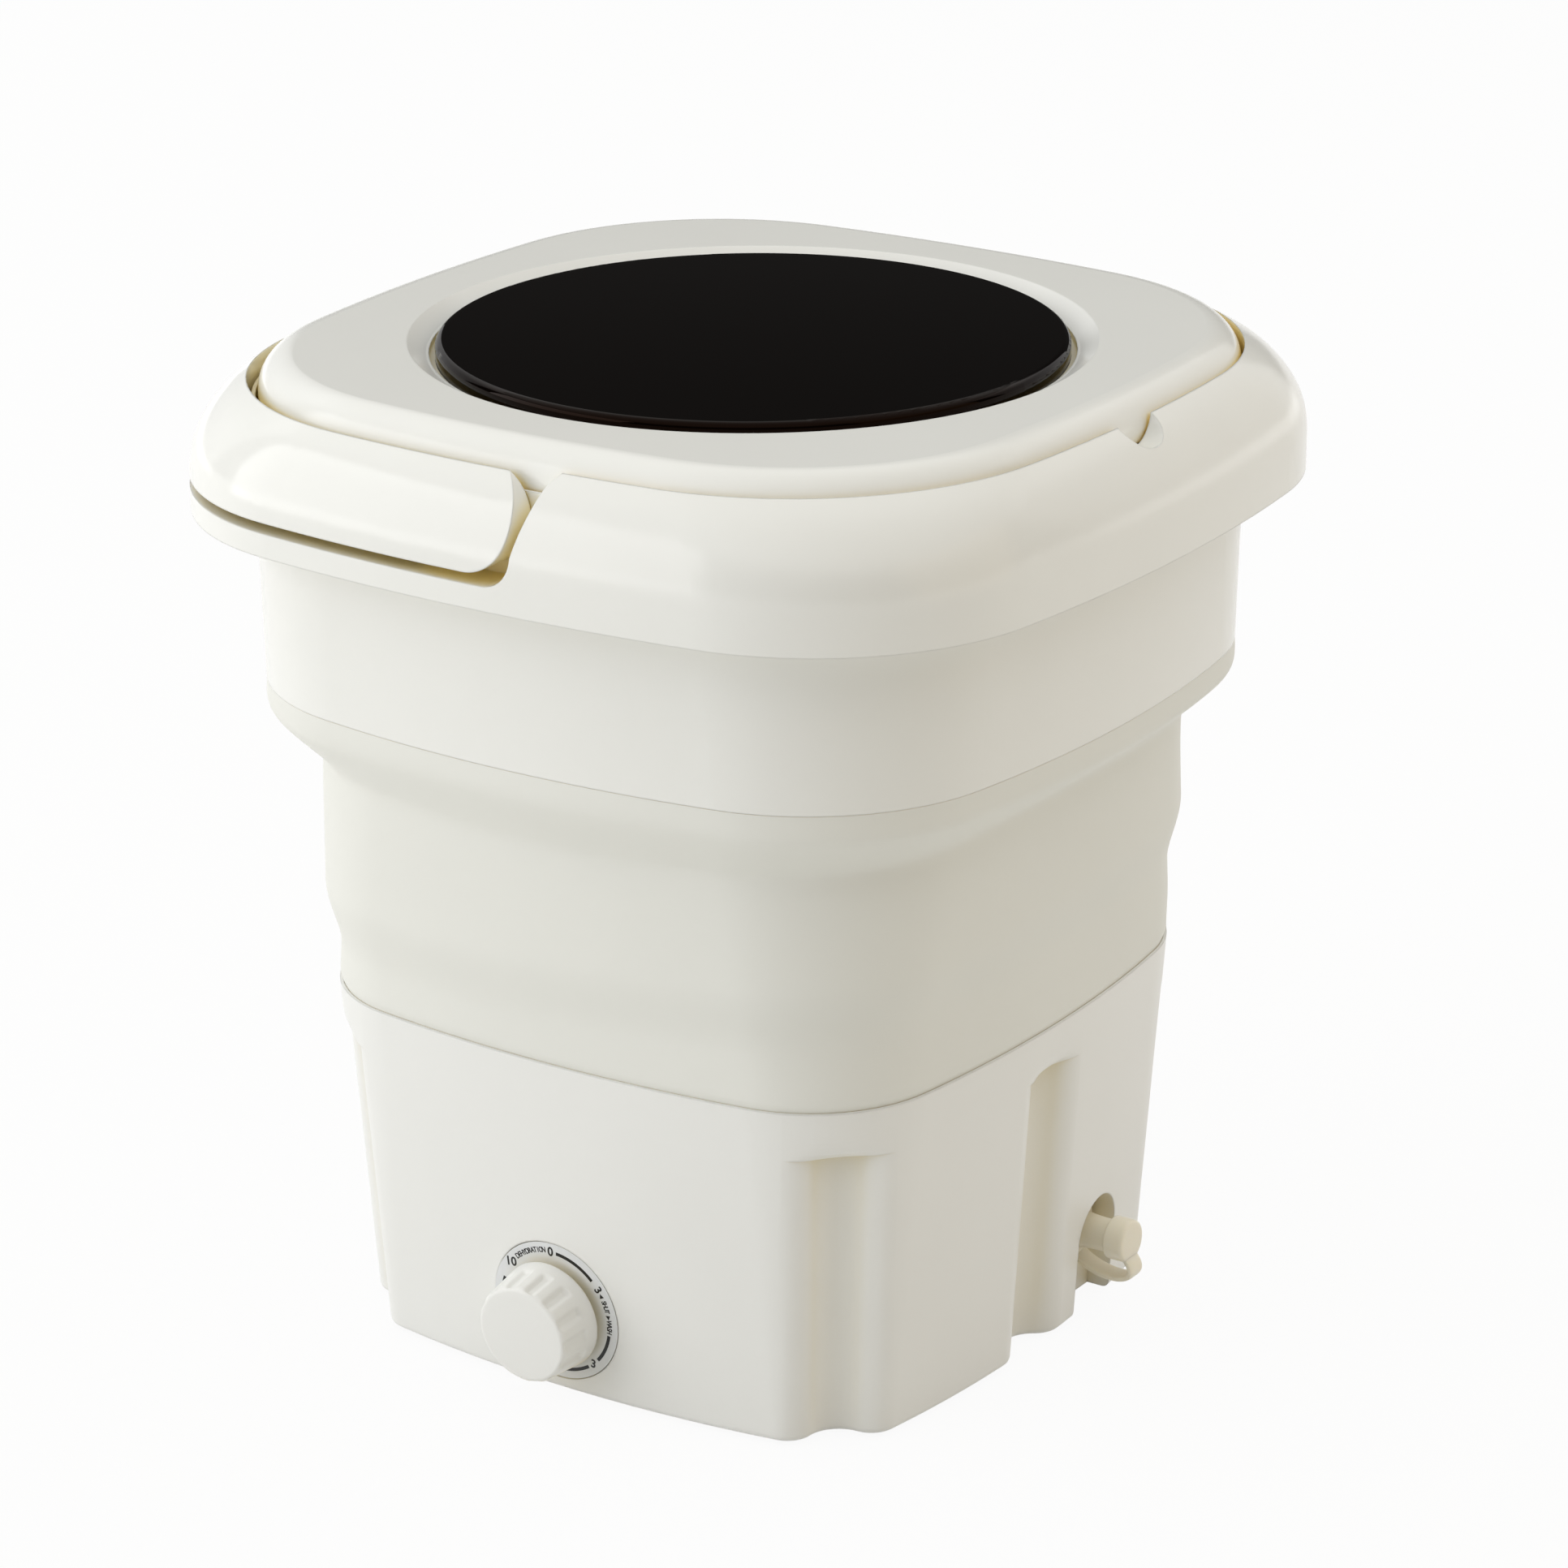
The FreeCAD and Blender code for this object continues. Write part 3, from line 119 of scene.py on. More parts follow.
def makeStudio(s):
    half = s["floorSize"] / 2
    mesh = bpy.data.meshes.new("floor")
    corners = np.array([(-half, -half, 0), (half, -half, 0), (half, half, 0), (-half, half, 0)])
    mesh.from_pydata(corners.tolist(), [], [(0, 1, 2, 3)])
    floor = bpy.data.objects.new("floor", mesh)
    bpy.context.scene.collection.objects.link(floor)
    # White backdrop: the camera, reflections and glass see a paper floor lifted to white, with shadows on it
    material = bpy.data.materials.new("paperFloor")
    material.use_nodes = True
    tree = material.node_tree
    tree.nodes.clear()
    path = addNode(tree, "ShaderNodeLightPath")
    mirror = addNode(tree, "ShaderNodeMath", {"operation": "MAXIMUM"})
    tree.links.new(path.outputs["Is Glossy Ray"], mirror.inputs[0])
    tree.links.new(path.outputs["Is Transmission Ray"], mirror.inputs[1])
    seen = addNode(tree, "ShaderNodeMath", {"operation": "MAXIMUM"})
    tree.links.new(path.outputs["Is Camera Ray"], seen.inputs[0])
    tree.links.new(mirror.outputs[0], seen.inputs[1])
    paper = addNode(tree, "ShaderNodeBsdfDiffuse", {"Color": linear(s["floorColour"])})
    lift = addNode(tree, "ShaderNodeEmission", {"Color": (1, 1, 1, 1), "Strength": 1.0})
    share = addNode(tree, "ShaderNodeMath", {"operation": "MULTIPLY"})
    share.inputs[1].default_value = s["lift"]
    tree.links.new(seen.outputs[0], share.inputs[0])
    mix = addNode(tree, "ShaderNodeMixShader", Fac=share.outputs[0])
    tree.links.new(paper.outputs[0], mix.inputs[1])
    tree.links.new(lift.outputs[0], mix.inputs[2])
    addNode(tree, "ShaderNodeOutputMaterial", Surface=mix.outputs[0])
    mesh.materials.append(material)
    world = bpy.data.worlds.new("studioSky")
    world.use_nodes = True
    background = world.node_tree.nodes["Background"]
    background.inputs["Color"].default_value = linear(s["skyColour"])
    # The sky's strength follows the height of its direction: dim walls, a bright ceiling
    high = addNode(world.node_tree, "ShaderNodeSeparateXYZ",
                   Vector=addNode(world.node_tree, "ShaderNodeTexCoord").outputs["Generated"])
    glow = addNode(world.node_tree, "ShaderNodeMapRange", {
        "interpolation_type": "SMOOTHSTEP", "From Min": s["skyEdge"][0], "From Max": s["skyEdge"][1],
        "To Min": s["skyStrength"] * s["skyLow"], "To Max": s["skyStrength"]}, Value=high.outputs["Z"])
    world.node_tree.links.new(glow.outputs["Result"], background.inputs["Strength"])
    bpy.context.scene.world = world
    middle = Vector(s["aim"])
    for name, azimuth, elevation, distance, size, watts, colour in s["lamps"]:
        a, e = math.radians(azimuth), math.radians(elevation)
        towards = Vector((math.sin(a) * math.cos(e), -math.cos(a) * math.cos(e), math.sin(e)))
        lamp = bpy.data.lights.new(name, "AREA")
        lamp.size = size
        lamp.energy = watts
        lamp.color = linear(colour)[:3]
        holder = bpy.data.objects.new(name, lamp)
        holder.location = middle + towards * distance
        holder.rotation_euler = towards.to_track_quat("Z", "Y").to_euler()
        bpy.context.scene.collection.objects.link(holder)
    bpy.context.scene.view_settings.view_transform = "Standard"


makeCamera(cameraSet)
makeStudio(studio)
print("camera and studio set")


def newMaterial(name):
    material = bpy.data.materials.new(name)
    material.use_nodes = True
    tree = material.node_tree
    where = addNode(tree, "ShaderNodeTexCoord").outputs["Object"]
    return material, tree, tree.nodes["Principled BSDF"], where


# What all moulded plastics share, sizes in mm
mouldedSet = {
    "ior": 1.49,
    "cloudSize": 60.0,
    "reliefDepth": 0.1,
    "gapReach": 30.0,      # how far the painted gap shade looks for a facing wall
    "gapRays": 8,
    "edgeRays": 4,
    "glossSpread": 0.1,    # the tool texture's share of the roughness, up and down
}


def moulded(name, colour, roughness, grain, bump, paintedGapShade=None, ownGaps=False, gapRange=(0.08, 0.50), cloud=0.03,
            edge=0.0, specular=0.5, tint="#ffffff"):
    # Moulded plastic: faint clouds from the melt, a fine tool texture in bump and gloss, and painted shade
    # and
    # painted bounce light: a warm tint deep in gaps and corners, or only in the piece's own ones, where light
    # has bounced between cream walls. gapRange is the openness at which that painted tint is full and at
    # which it is gone. Grain and edge are in mm; a real tool texture is finer than the render can show, so
    # the grain is drawn coarser.
    s = mouldedSet
    material, tree, surface, where = newMaterial(name)
    surface.inputs["IOR"].default_value = s["ior"]
    surface.inputs["Specular IOR Level"].default_value = specular
    surface.inputs["Specular Tint"].default_value = linear(tint)
    clouds = addNode(tree, "ShaderNodeTexNoise", {"Scale": 1 / (s["cloudSize"] * mm), "Detail": 2.0},
                     Vector=where)
    tool = addNode(tree, "ShaderNodeTexNoise", {"Scale": 1 / (grain * mm), "Detail": 3.0}, Vector=where)
    base = linear(colour)
    dark = tuple(c * (1 - cloud) for c in base[:3]) + (1.0,)
    shade = addNode(tree, "ShaderNodeMixRGB", {"Color1": dark, "Color2": base}, Fac=clouds.outputs["Fac"])
    paint = shade.outputs["Color"]
    # Painted shade and bounce light: where the AO finds walls close by, the colour is mixed towards the warm
    # gap colour
    if paintedGapShade:
        hollow = addNode(tree, "ShaderNodeAmbientOcclusion", {
            "Distance": s["gapReach"] * mm, "samples": s["gapRays"], "only_local": ownGaps})
        full, gone = gapRange
        depth = addNode(tree, "ShaderNodeMapRange", {
            "From Min": full, "From Max": gone, "To Min": 1.0, "To Max": 0.0}, Value=hollow.outputs["AO"])
        paint = addNode(tree, "ShaderNodeMixRGB", {"Color2": linear(paintedGapShade)}, Fac=depth.outputs["Result"],
                        Color1=paint).outputs["Color"]
    tree.links.new(paint, surface.inputs["Base Color"])
    low, high = roughness * (1 - s["glossSpread"]), roughness * (1 + s["glossSpread"])
    gloss = addNode(tree, "ShaderNodeMapRange", {"To Min": low, "To Max": high}, Value=tool.outputs["Fac"])
    tree.links.new(gloss.outputs["Result"], surface.inputs["Roughness"])
    relief = addNode(tree, "ShaderNodeBump", {"Strength": bump, "Distance": s["reliefDepth"] * mm},
                     Height=tool.outputs["Fac"])
    if edge:
        soft = addNode(tree, "ShaderNodeBevel", {"Radius": edge * mm, "samples": s["edgeRays"]})
        tree.links.new(soft.outputs["Normal"], relief.inputs["Normal"])
    tree.links.new(relief.outputs["Normal"], surface.inputs["Normal"])
    return material


def metal(name, colour, roughness, streak, stretch=(1.0, 1.0, 12.0), dim=0.82, spread=0.25):
    # Turned or rolled metal: streaks of a size in mm, squeezed along one axis, in colour and gloss
    material, tree, surface, where = newMaterial(name)
    surface.inputs["Metallic"].default_value = 1.0
    lined = addNode(tree, "ShaderNodeMapping", {"Scale": stretch}, Vector=where)
    lines = addNode(tree, "ShaderNodeTexNoise", {"Scale": 1 / (streak * mm), "Detail": 4.0},
                    Vector=lined.outputs["Vector"])
    base = linear(colour)
    dark = tuple(c * dim for c in base[:3]) + (1.0,)
    shade = addNode(tree, "ShaderNodeMixRGB", {"Color1": dark, "Color2": base}, Fac=lines.outputs["Fac"])
    tree.links.new(shade.outputs["Color"], surface.inputs["Base Color"])
    gloss = addNode(tree, "ShaderNodeMapRange", {
        "To Min": roughness * (1 - spread), "To Max": roughness * (1 + spread)}, Value=lines.outputs["Fac"])
    tree.links.new(gloss.outputs["Result"], surface.inputs["Roughness"])
    return material


def milky(name, colour, roughness, blur=2.0):
    # Translucent polypropylene: light blurs inside the wall over some mm, and less of the blue comes back
    material = moulded(name, colour, roughness, 1.5, 0.02, cloud=0.06)
    surface = material.node_tree.nodes["Principled BSDF"]
    surface.inputs["Subsurface Weight"].default_value = 0.3
    surface.inputs["Subsurface Radius"].default_value = (1.0, 0.9, 0.7)
    surface.inputs["Subsurface Scale"].default_value = blur * mm
    return material


def wound(name, colour, pitch, roughness=0.3, paintedGrooveShade=0.45, depth=0.3):
    # Enamelled copper wire: close turns, pitch and depth in mm, as a wave in bump, with painted shade in the
    # grooves.
    # At scale 1 a wave texture repeats every pi / 10, which is close to 1 / pi.
    material, tree, surface, where = newMaterial(name)
    surface.inputs["Metallic"].default_value = 1.0
    surface.inputs["Roughness"].default_value = roughness
    turns = addNode(tree, "ShaderNodeTexWave", {
        "Scale": 1 / (pitch * mm) / math.pi, "bands_direction": "Z", "Distortion": 0.6}, Vector=where)
    base = linear(colour)
    dark = tuple(c * paintedGrooveShade for c in base[:3]) + (1.0,)
    shade = addNode(tree, "ShaderNodeMixRGB", {"Color1": dark, "Color2": base}, Fac=turns.outputs["Fac"])
    tree.links.new(shade.outputs["Color"], surface.inputs["Base Color"])
    relief = addNode(tree, "ShaderNodeBump", {"Strength": 0.6, "Distance": depth * mm},
                     Height=turns.outputs["Fac"])
    tree.links.new(relief.outputs["Normal"], surface.inputs["Normal"])
    return material


# Painted shade and bounce light: the warm colour painted deep in the gaps between cream walls
paintedGapShadeColour = "#fde79a"
# The record's slots and their finishes: name, colour, roughness, grain in mm and bump of each plastic, and
# for the cream ones the colour of painted shade and bounce light in their gaps
finishes = {
    "ivory_gloss": moulded("glossAbs", "#f2f2ee", 0.19, 0.8, 0.015, paintedGapShade=paintedGapShadeColour, edge=1.0),
    "ivory_satin": moulded("satinPolypropylene", "#f1f1ee", 0.36, 0.8, 0.10, paintedGapShade=paintedGapShadeColour, edge=0.8),
    "soft_ivory": moulded("softElastomer", "#ebebe5", 0.55, 1.2, 0.12, paintedGapShade="#d8b860"),
    "smoked_window": moulded("smokedAcrylic", "#060302", 0.04, 4.0, 0.0, specular=0.14, tint="#c89a84"),
    "tub_white": moulded("whitePolypropylene", "#f2f2ef", 0.35, 1.0, 0.06, paintedGapShade="#cfc4a0"),
    "clear_drain": milky("milkyPolypropylene", "#f8f1df", 0.30),
    "dial_silver": moulded("silverPrintFoil", "#e6e8ea", 0.30, 0.5, 0.04, cloud=0.05),
    "rubber_grey": moulded("grayRubber", "#4a4a48", 0.75, 0.9, 0.25, cloud=0.10),
    "bright_steel": metal("turnedSteel", "#c9c9c6", 0.24, 0.6),
    "motor_steel": metal("zincPlatedSteel", "#a9aaa8", 0.42, 1.5, (1.0, 1.0, 1.0)),
    "copper_wire": wound("enamelledCopper", "#b8693a", 0.9),
    "board_green": moulded("solderResist", "#1f5b38", 0.30, 2.5, 0.10, cloud=0.25),
    "part_black": moulded("blackEpoxy", "#1a1a1b", 0.45, 0.7, 0.12, cloud=0.12),
    "timer_case": moulded("greyPbt", "#cfccc2", 0.50, 0.9, 0.12, cloud=0.06),
}
slotOf = {part["node"]: part["material_slot"] for part in record["subparts"]}
for name, obj in nodes.items():
    obj.data.materials.clear()
    obj.data.materials.append(finishes[slotOf[name]])
# The base stands on the floor, so its painted shade is kept to its own niche and flutes
satinBase = moulded("satinBase", "#f1f1ee", 0.36, 0.8, 0.10, paintedGapShade="#e9dfc0", ownGaps=True,
                    gapRange=(0.45, 0.95), edge=1.2)
nodes["base_shell"].data.materials[0] = satinBase
# The handle's hollow shows when it is raised, so its own painted gap shade is paler
glossHandle = moulded("glossHandle", "#f2f2ee", 0.13, 0.8, 0.015, paintedGapShade="#f6edc8", edge=1.0)
nodes["carry_handle"].data.materials[0] = glossHandle
print("finishes made:", len(finishes), "and given to", len(nodes), "nodes")


def gridFaces(rows, columns, loopRows=False):
    # Quads between neighbours of a grid of points, rows along the profile, columns round the axis
    r, left = np.meshgrid(np.arange(rows - (not loopRows)), np.arange(columns), indexing="ij")
    below, above = r * columns, ((r + 1) % rows) * columns
    right = (left + 1) % columns
    return np.stack([below + left, below + right, above + right, above + left], axis=-1).reshape(-1, 4)


def fanFaces(first, columns, pole, turned):
    # Triangles from a ring of points to one pole point
    here = first + np.arange(columns)
    after = first + (np.arange(columns) + 1) % columns
    centre = np.full(columns, pole)
    return np.stack([after, here, centre] if turned else [here, after, centre], axis=-1)


def makePiece(name, points, faceSets, slotName, sharp, material=None):
    # Points in metres and groups of equal-sided faces become one smooth mesh; edges past sharp degrees stay
    mesh = bpy.data.meshes.new(name)
    corners = np.concatenate([f.ravel() for f in faceSets])
    sides = np.concatenate([np.full(len(f), f.shape[1]) for f in faceSets])
    mesh.vertices.add(len(points))
    mesh.vertices.foreach_set("co", np.asarray(points, dtype=np.float32).ravel())
    mesh.loops.add(len(corners))
    mesh.loops.foreach_set("vertex_index", corners.astype(np.int32))
    mesh.polygons.add(len(sides))
    mesh.polygons.foreach_set("loop_start", np.concatenate([[0], np.cumsum(sides)[:-1]]).astype(np.int32))
    mesh.polygons.foreach_set("use_smooth", np.ones(len(sides), dtype=bool))
    mesh.update(calc_edges=True)
    mesh.validate()
    mesh.set_sharp_from_angle(angle=math.radians(sharp))
    obj = bpy.data.objects.new(name, mesh)
    bpy.context.scene.collection.objects.link(obj)
    mesh.materials.append(material or finishes[slotName])
    return obj


def smoothStep(t):
    # Rises from 0 to 1 with flat ends
    t = np.clip(t, 0.0, 1.0)
    return t * t * (3 - 2 * t)


def bulgedSquare(half, side, corner, turn):
    # Distance from the axis, at the angle turn, of a square with bowed sides and rounded corners: the ray
    # meets a side's circle near the middle of a side and a corner's circle near a corner
    sideCentre = half - side
    offset = (sideCentre + np.sqrt(2 * (side - corner) ** 2 - sideCentre ** 2)) / 2
    sideEnd = np.arcsin(offset / (side - corner))
    joint = np.arctan2(side * np.sin(sideEnd), sideCentre + side * np.cos(sideEnd))
    folded = np.abs((turn + math.pi / 4) % (math.pi / 2) - math.pi / 4)
    onSide = sideCentre * np.cos(folded) + np.sqrt(side ** 2 - (sideCentre * np.sin(folded)) ** 2)
    diagonal = offset * math.sqrt(2)
    fromCorner = math.pi / 4 - folded
    inside = np.maximum(corner ** 2 - (diagonal * np.sin(fromCorner)) ** 2, 0.0)
    onCorner = diagonal * np.cos(fromCorner) + np.sqrt(inside)
    return np.where(folded < joint, onSide, onCorner)


# Soft wall: one moulded skin, which the real tub squashes when it folds but which is drawn here at rest and
# fixed to the base, with a step above the base, a crease, a slanting shoulder and an upright lip under the
# band
softWall = {
    "columns": 320,
    "rows": 110,
    "thickness": 2.5,
    "footZ": 137.0,
    "headZ": 258.9,
    "foot": (133.15, 563.65, 53.65),   # half width, side radius, corner radius where it leaves the base
    "head": (159.1, 514.0, 81.0),      # the same where it meets the band
    "rootZ": 131.0,                    # lowest point, inside the base
    "tongueZ": 266.0,                  # highest point, inside the band
    "tongueInset": 3.4,
    "rootInset": 0.45,
    "footBulge": 0.9,                  # swells to nearly flush with the base just above the joint
    "footBulgeSpan": 3.0,
    "stepZ": 173.0,
    "stepSpan": 27.0,
    "stepRise": 4.9,
    "stepShift": 9.0,                  # the step sits higher towards the far drain corner
    "lean": 2.4,                       # widening from foot to crease apart from the step
    "creaseZ": 230.5,
    "creaseShift": 4.5,                # the crease sits higher at the sides, lower in front and behind
    "lipZ": 248.5,                     # the shoulder slants from the crease up to here
    "softness": 11.0,                  # higher is a tighter bend at crease and lip
    "calmSpan": 22.0,                  # the waves fade over this much at the foot and below the crease
    "calmTop": 4.0,                    # and are gone this far above the crease
    "throatDrop": 3.0,                 # inside, the head's skin turns in this far below the head
    "innerDrop": 5.0,                  # and the wall's inner skin ends this far below it
    # Count round the wall, phase, pitch, height
    "waves": [(3, 1.2, 29.0, 0.40), (5, -0.7, 37.0, 0.32), (8, 2.1, 21.0, 0.18)],
    "sharp": 50,
}


def wallHalf(z, turn, s):
    # Half width: the foot, a slow lean, a soft step, a slant between two bends, and slow waves below it.
    # The slant is a ramp from 0 to 1 whose two corners are rounded by the log of one plus an exponential.
    crease = s["creaseZ"] + s["creaseShift"] * np.cos(2 * turn)
    stepMid = s["stepZ"] + s["stepShift"] * np.cos(turn - math.pi / 4)
    half = s["foot"][0] + s["footBulge"] * smoothStep((z - s["footZ"]) / s["footBulgeSpan"])
    half = half + s["lean"] * np.clip((z - s["footZ"]) / (s["creaseZ"] - s["footZ"]), 0, 1)
    half = half + s["stepRise"] * smoothStep((z - stepMid) / s["stepSpan"] + 0.5)
    climb = (z - crease) / (s["lipZ"] - crease) * s["softness"]
    slant = (np.logaddexp(0, climb) - np.logaddexp(0, climb - s["softness"])) / s["softness"]
    below = s["foot"][0] + s["footBulge"] + s["lean"] + s["stepRise"]
    half = half + (s["head"][0] - below) * slant
    span = s["calmSpan"]
    calm = smoothStep((z - s["footZ"]) / span) * smoothStep((s["creaseZ"] + s["calmTop"] - z) / span)
    for count, phase, pitch, height in s["waves"]:
        half = half + height * calm * np.sin(count * turn + phase + z / pitch)
    return half


def makeSoftWall(s):
    # One ring of points per height, from the root in the base up the outer skin, round the tongue in the band
    # and down the inner skin, closed into a tube of wall
    turn = np.linspace(0, 2 * math.pi, s["columns"], endpoint=False)[None, :]
    share = np.linspace(0, 1, s["rows"])
    z = (s["footZ"] + (s["headZ"] - s["footZ"]) * share)[:, None]
    foot, head = np.array(s["foot"]), np.array(s["head"])
    side = foot[1] + (head[1] - foot[1]) * share[:, None]
    corner = foot[2] + (head[2] - foot[2]) * share[:, None]
    outerHalf = wallHalf(z, turn, s)

    def ring(half, sideRadius, cornerRadius, level):
        r = bulgedSquare(half, sideRadius, cornerRadius, turn)
        return np.stack([r * np.cos(turn), r * np.sin(turn), np.full_like(r, level)], axis=-1)

    def skin(inset):
        r = bulgedSquare(outerHalf - inset, side - inset, corner - inset, turn)
        return np.stack([r * np.cos(turn), r * np.sin(turn), np.broadcast_to(z, r.shape)], axis=-1)

    thick = s["thickness"]
    root = ring(*(foot - s["rootInset"]), s["rootZ"])
    rootInner = ring(*(foot - s["rootInset"] - thick), s["rootZ"])
    inHead = head - s["tongueInset"]
    lip = ring(*inHead, s["headZ"])
    tongue = ring(*inHead, s["tongueZ"])
    tongueInner = ring(*(inHead - thick), s["tongueZ"])
    throat = ring(*(inHead - thick), s["headZ"] - s["throatDrop"])
    inner = skin(thick)[::-1]
    inner = inner[inner[:, 0, 2] < s["headZ"] - s["innerDrop"]]
    rows = np.concatenate([root, skin(0.0), lip, tongue, tongueInner, throat, inner, rootInner])
    count = rows.shape[0]
    faces = gridFaces(count, s["columns"], loopRows=True)
    wall = makePiece("softWall", rows.reshape(-1, 3) * mm, [faces], "soft_ivory", sharp=s["sharp"])
    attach(wall, "base")
    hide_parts("bellows_wall")
    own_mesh(wall)


makeSoftWall(softWall)
print("soft wall made")

# The dial's own directions: right and up on the leaning front wall, and out of it
timer = next(j for j in record["behaviour"]["joints"] if j["name"] == "timer_turn")
dialCentre = np.array(timer["pos_m"])
dialOut = -np.array(timer["axis"])
dialRight = np.array([1.0, 0.0, 0.0])
dialUp = np.cross(dialOut, dialRight)


def onDial(right, up, out):
    # Millimetres along the dial's directions to points in metres
    flat = right[..., None] * dialRight + up[..., None] * dialUp + out[..., None] * dialOut
    return dialCentre + flat * mm


# Timer knob: tapered, with a rounded front edge and a ring of thumb dents that fade out before the back skirt
knob = {
    "dents": 14,
    "dentColumns": 26,
    "sideRows": 36,
    "edgeRows": 12,
    "faceRows": 12,
    "back": 3.0,          # distances from the wall in mm
    "front": 21.8,
    "backRadius": 21.4,
    "frontRadius": 19.3,
    "edge": 2.2,
    "crown": 0.4,
    "dentDepth": 1.25,
    "dentWidth": 4.0,
    "dentSoft": 2.4,
    "dentEnd": 8.2,       # distance from the wall at which a dent has faded
    "dentFade": 2.2,
    "dentRim": 1.7,       # the dents fade over this length towards the front, which stays round
    "rimStart": 0.15,     # and are gone at this share of it
    "backEdge": 0.4,
    "backRings": [2.0, 10.0],
    "poleRing": 1.0,
    "sharp": 55,
}


def makeKnob(s):
    # A profile of radius and distance from the wall, carried round the shaft: the back, a straight taper, a
    # quarter circle at the front edge and a crowned face. The dents are taken off the radius.
    turn = np.linspace(0, 2 * math.pi, s["dents"] * s["dentColumns"], endpoint=False)[None, :]
    edgeTurn = np.linspace(0, math.pi / 2, s["edgeRows"])
    side = np.linspace(0, 1, s["sideRows"])
    taper = (s["frontRadius"] - s["backRadius"]) / (s["front"] - s["back"])
    sideStart = s["back"] + s["backEdge"]
    sideOut = sideStart + (s["front"] - s["edge"] - sideStart) * side
    sideRadius = s["backRadius"] + taper * (sideOut - s["back"])
    edgeOut = s["front"] - s["edge"] * (1 - np.sin(edgeTurn[1:]))
    edgeRadius = sideRadius[-1] - s["edge"] * (1 - np.cos(edgeTurn[1:]))
    faceRadius = np.linspace(edgeRadius[-1], s["poleRing"], s["faceRows"])[1:]
    faceOut = s["front"] + s["crown"] * (1 - (faceRadius / edgeRadius[-1]) ** 2)
    backRadius = np.array(s["backRings"] + [s["backRadius"] - s["backEdge"]])
    radius = np.concatenate([backRadius, sideRadius, edgeRadius, faceRadius])[:, None]
    out = np.concatenate([np.full(len(backRadius), s["back"]), sideOut, edgeOut, faceOut])[:, None]
    pitch = 2 * math.pi / s["dents"]
    across = np.abs((turn + pitch / 2) % pitch - pitch / 2) * s["backRadius"]
    width = smoothStep((s["dentWidth"] / 2 + s["dentSoft"] / 2 - across) / s["dentSoft"])
    length = smoothStep((out - s["dentEnd"]) / s["dentFade"])
    length = length * smoothStep((s["front"] - out) / s["dentRim"] - s["rimStart"])
    r = radius - s["dentDepth"] * width * length
    grid = onDial(r * np.cos(turn), r * np.sin(turn), np.broadcast_to(out, r.shape))
    rows, columns = r.shape
    poles = onDial(np.zeros(2), np.zeros(2), np.array([s["back"], s["front"] + s["crown"]]))
    points = np.concatenate([grid.reshape(-1, 3), poles])
    count = rows * columns
    backFan = fanFaces(0, columns, count, turned=True)
    frontFan = fanFaces((rows - 1) * columns, columns, count + 1, turned=False)
    faces = [gridFaces(rows, columns), backFan, frontFan]
    piece = makePiece("timerKnob", points, faces, slotOf["timer_knob"], sharp=s["sharp"])
    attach(piece, "knob")
    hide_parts("timer_knob")


makeKnob(knob)
print("knob made")

# Dial print: black arcs, figures and words on the silver disc
dialPrint = {
    "radius": 24.2,
    "lineWidth": 1.35,
    "lift": (-0.22, -0.14),      # the ink's underside and face, out of the wall; the disc's face is at -0.2
    "ink": "#161616",
    # Degrees from the drain side anticlockwise
    "arcs": [(86.0, 44.0), (-10.7, -42.0), (-56.0, -200.0)],
    # Text, angle, radius, height, lean
    "figures": [
        ("0", 92.0, 24.3, 3.7, 0.0),
        ("3", 34.5, 24.3, 3.5, -50.0),
        ("3", -49.5, 24.3, 3.5, -8.0),
        ("10", 141.5, 24.9, 3.7, 4.0),
    ],
    # Word, angle of its middle, radius, height, span
    "words": [
        ("DEHYDRATION", 115.0, 24.7, 2.2, 35.0),
        ("SHUT", 18.0, 24.2, 2.2, 12.0),
        ("WASH", -2.2, 24.2, 2.2, 12.0),
    ],
    "narrow": 0.8,               # width of a word's letters against the face's own
    # Angle, radius, size, way round
    "arrows": [(26.5, 24.2, 1.8, 1), (9.5, 24.2, 1.8, -1)],
    "arrowHalf": 0.55,           # half an arrow's foot against its length
    "faceSize": 1.38,            # the built-in face's size against the height of its capitals
    "weight": 0.035,             # how far the strokes are thickened, against the height
    "sharp": 30,
}


def arcPlate(start, end, radius, width, low, high):
    # A strip of constant width along an arc, one step to a degree, with a face, an underside and closed edges
    angle = np.radians(np.linspace(start, end, max(int(abs(end - start)), 2)))[:, None]
    r = np.array([[radius - width / 2, radius - width / 2, radius + width / 2, radius + width / 2]])
    out = np.broadcast_to(np.array([[low, high, high, low]]), (len(angle), 4))
    grid = onDial(r * np.cos(angle), r * np.sin(angle), out)
    count = len(angle)
    ends = np.array([[0, 1, 2, 3], [4 * count - 1, 4 * count - 2, 4 * count - 3, 4 * count - 4]])
    faces = np.concatenate([gridFaces(count, 4), ends])
    return grid.reshape(-1, 3), faces if end < start else faces[:, ::-1]


def glyphMesh(text, height, s):
    # A figure from the built-in face as a thin plate, centred, in millimetres
    low, high = s["lift"]
    curve = bpy.data.curves.new("figure", "FONT")
    curve.body = text
    curve.align_x = "CENTER"
    curve.align_y = "CENTER"
    curve.size = height * s["faceSize"]
    curve.extrude = (high - low) / 2
    curve.offset = height * s["weight"]
    curve.resolution_u = 4
    holder = bpy.data.objects.new("figure", curve)
    mesh = bpy.data.meshes.new_from_object(holder)
    points = np.empty(len(mesh.vertices) * 3)
    mesh.vertices.foreach_get("co", points)
    mesh.calc_loop_triangles()
    faces = np.empty(len(mesh.loop_triangles) * 3, dtype=np.int32)
    mesh.loop_triangles.foreach_get("vertices", faces)
    bpy.data.objects.remove(holder)
    bpy.data.curves.remove(curve)
    bpy.data.meshes.remove(mesh)
    points = points.reshape(-1, 3)
    points[:, 2] += (low + high) / 2
    return points, faces.reshape(-1, 3)


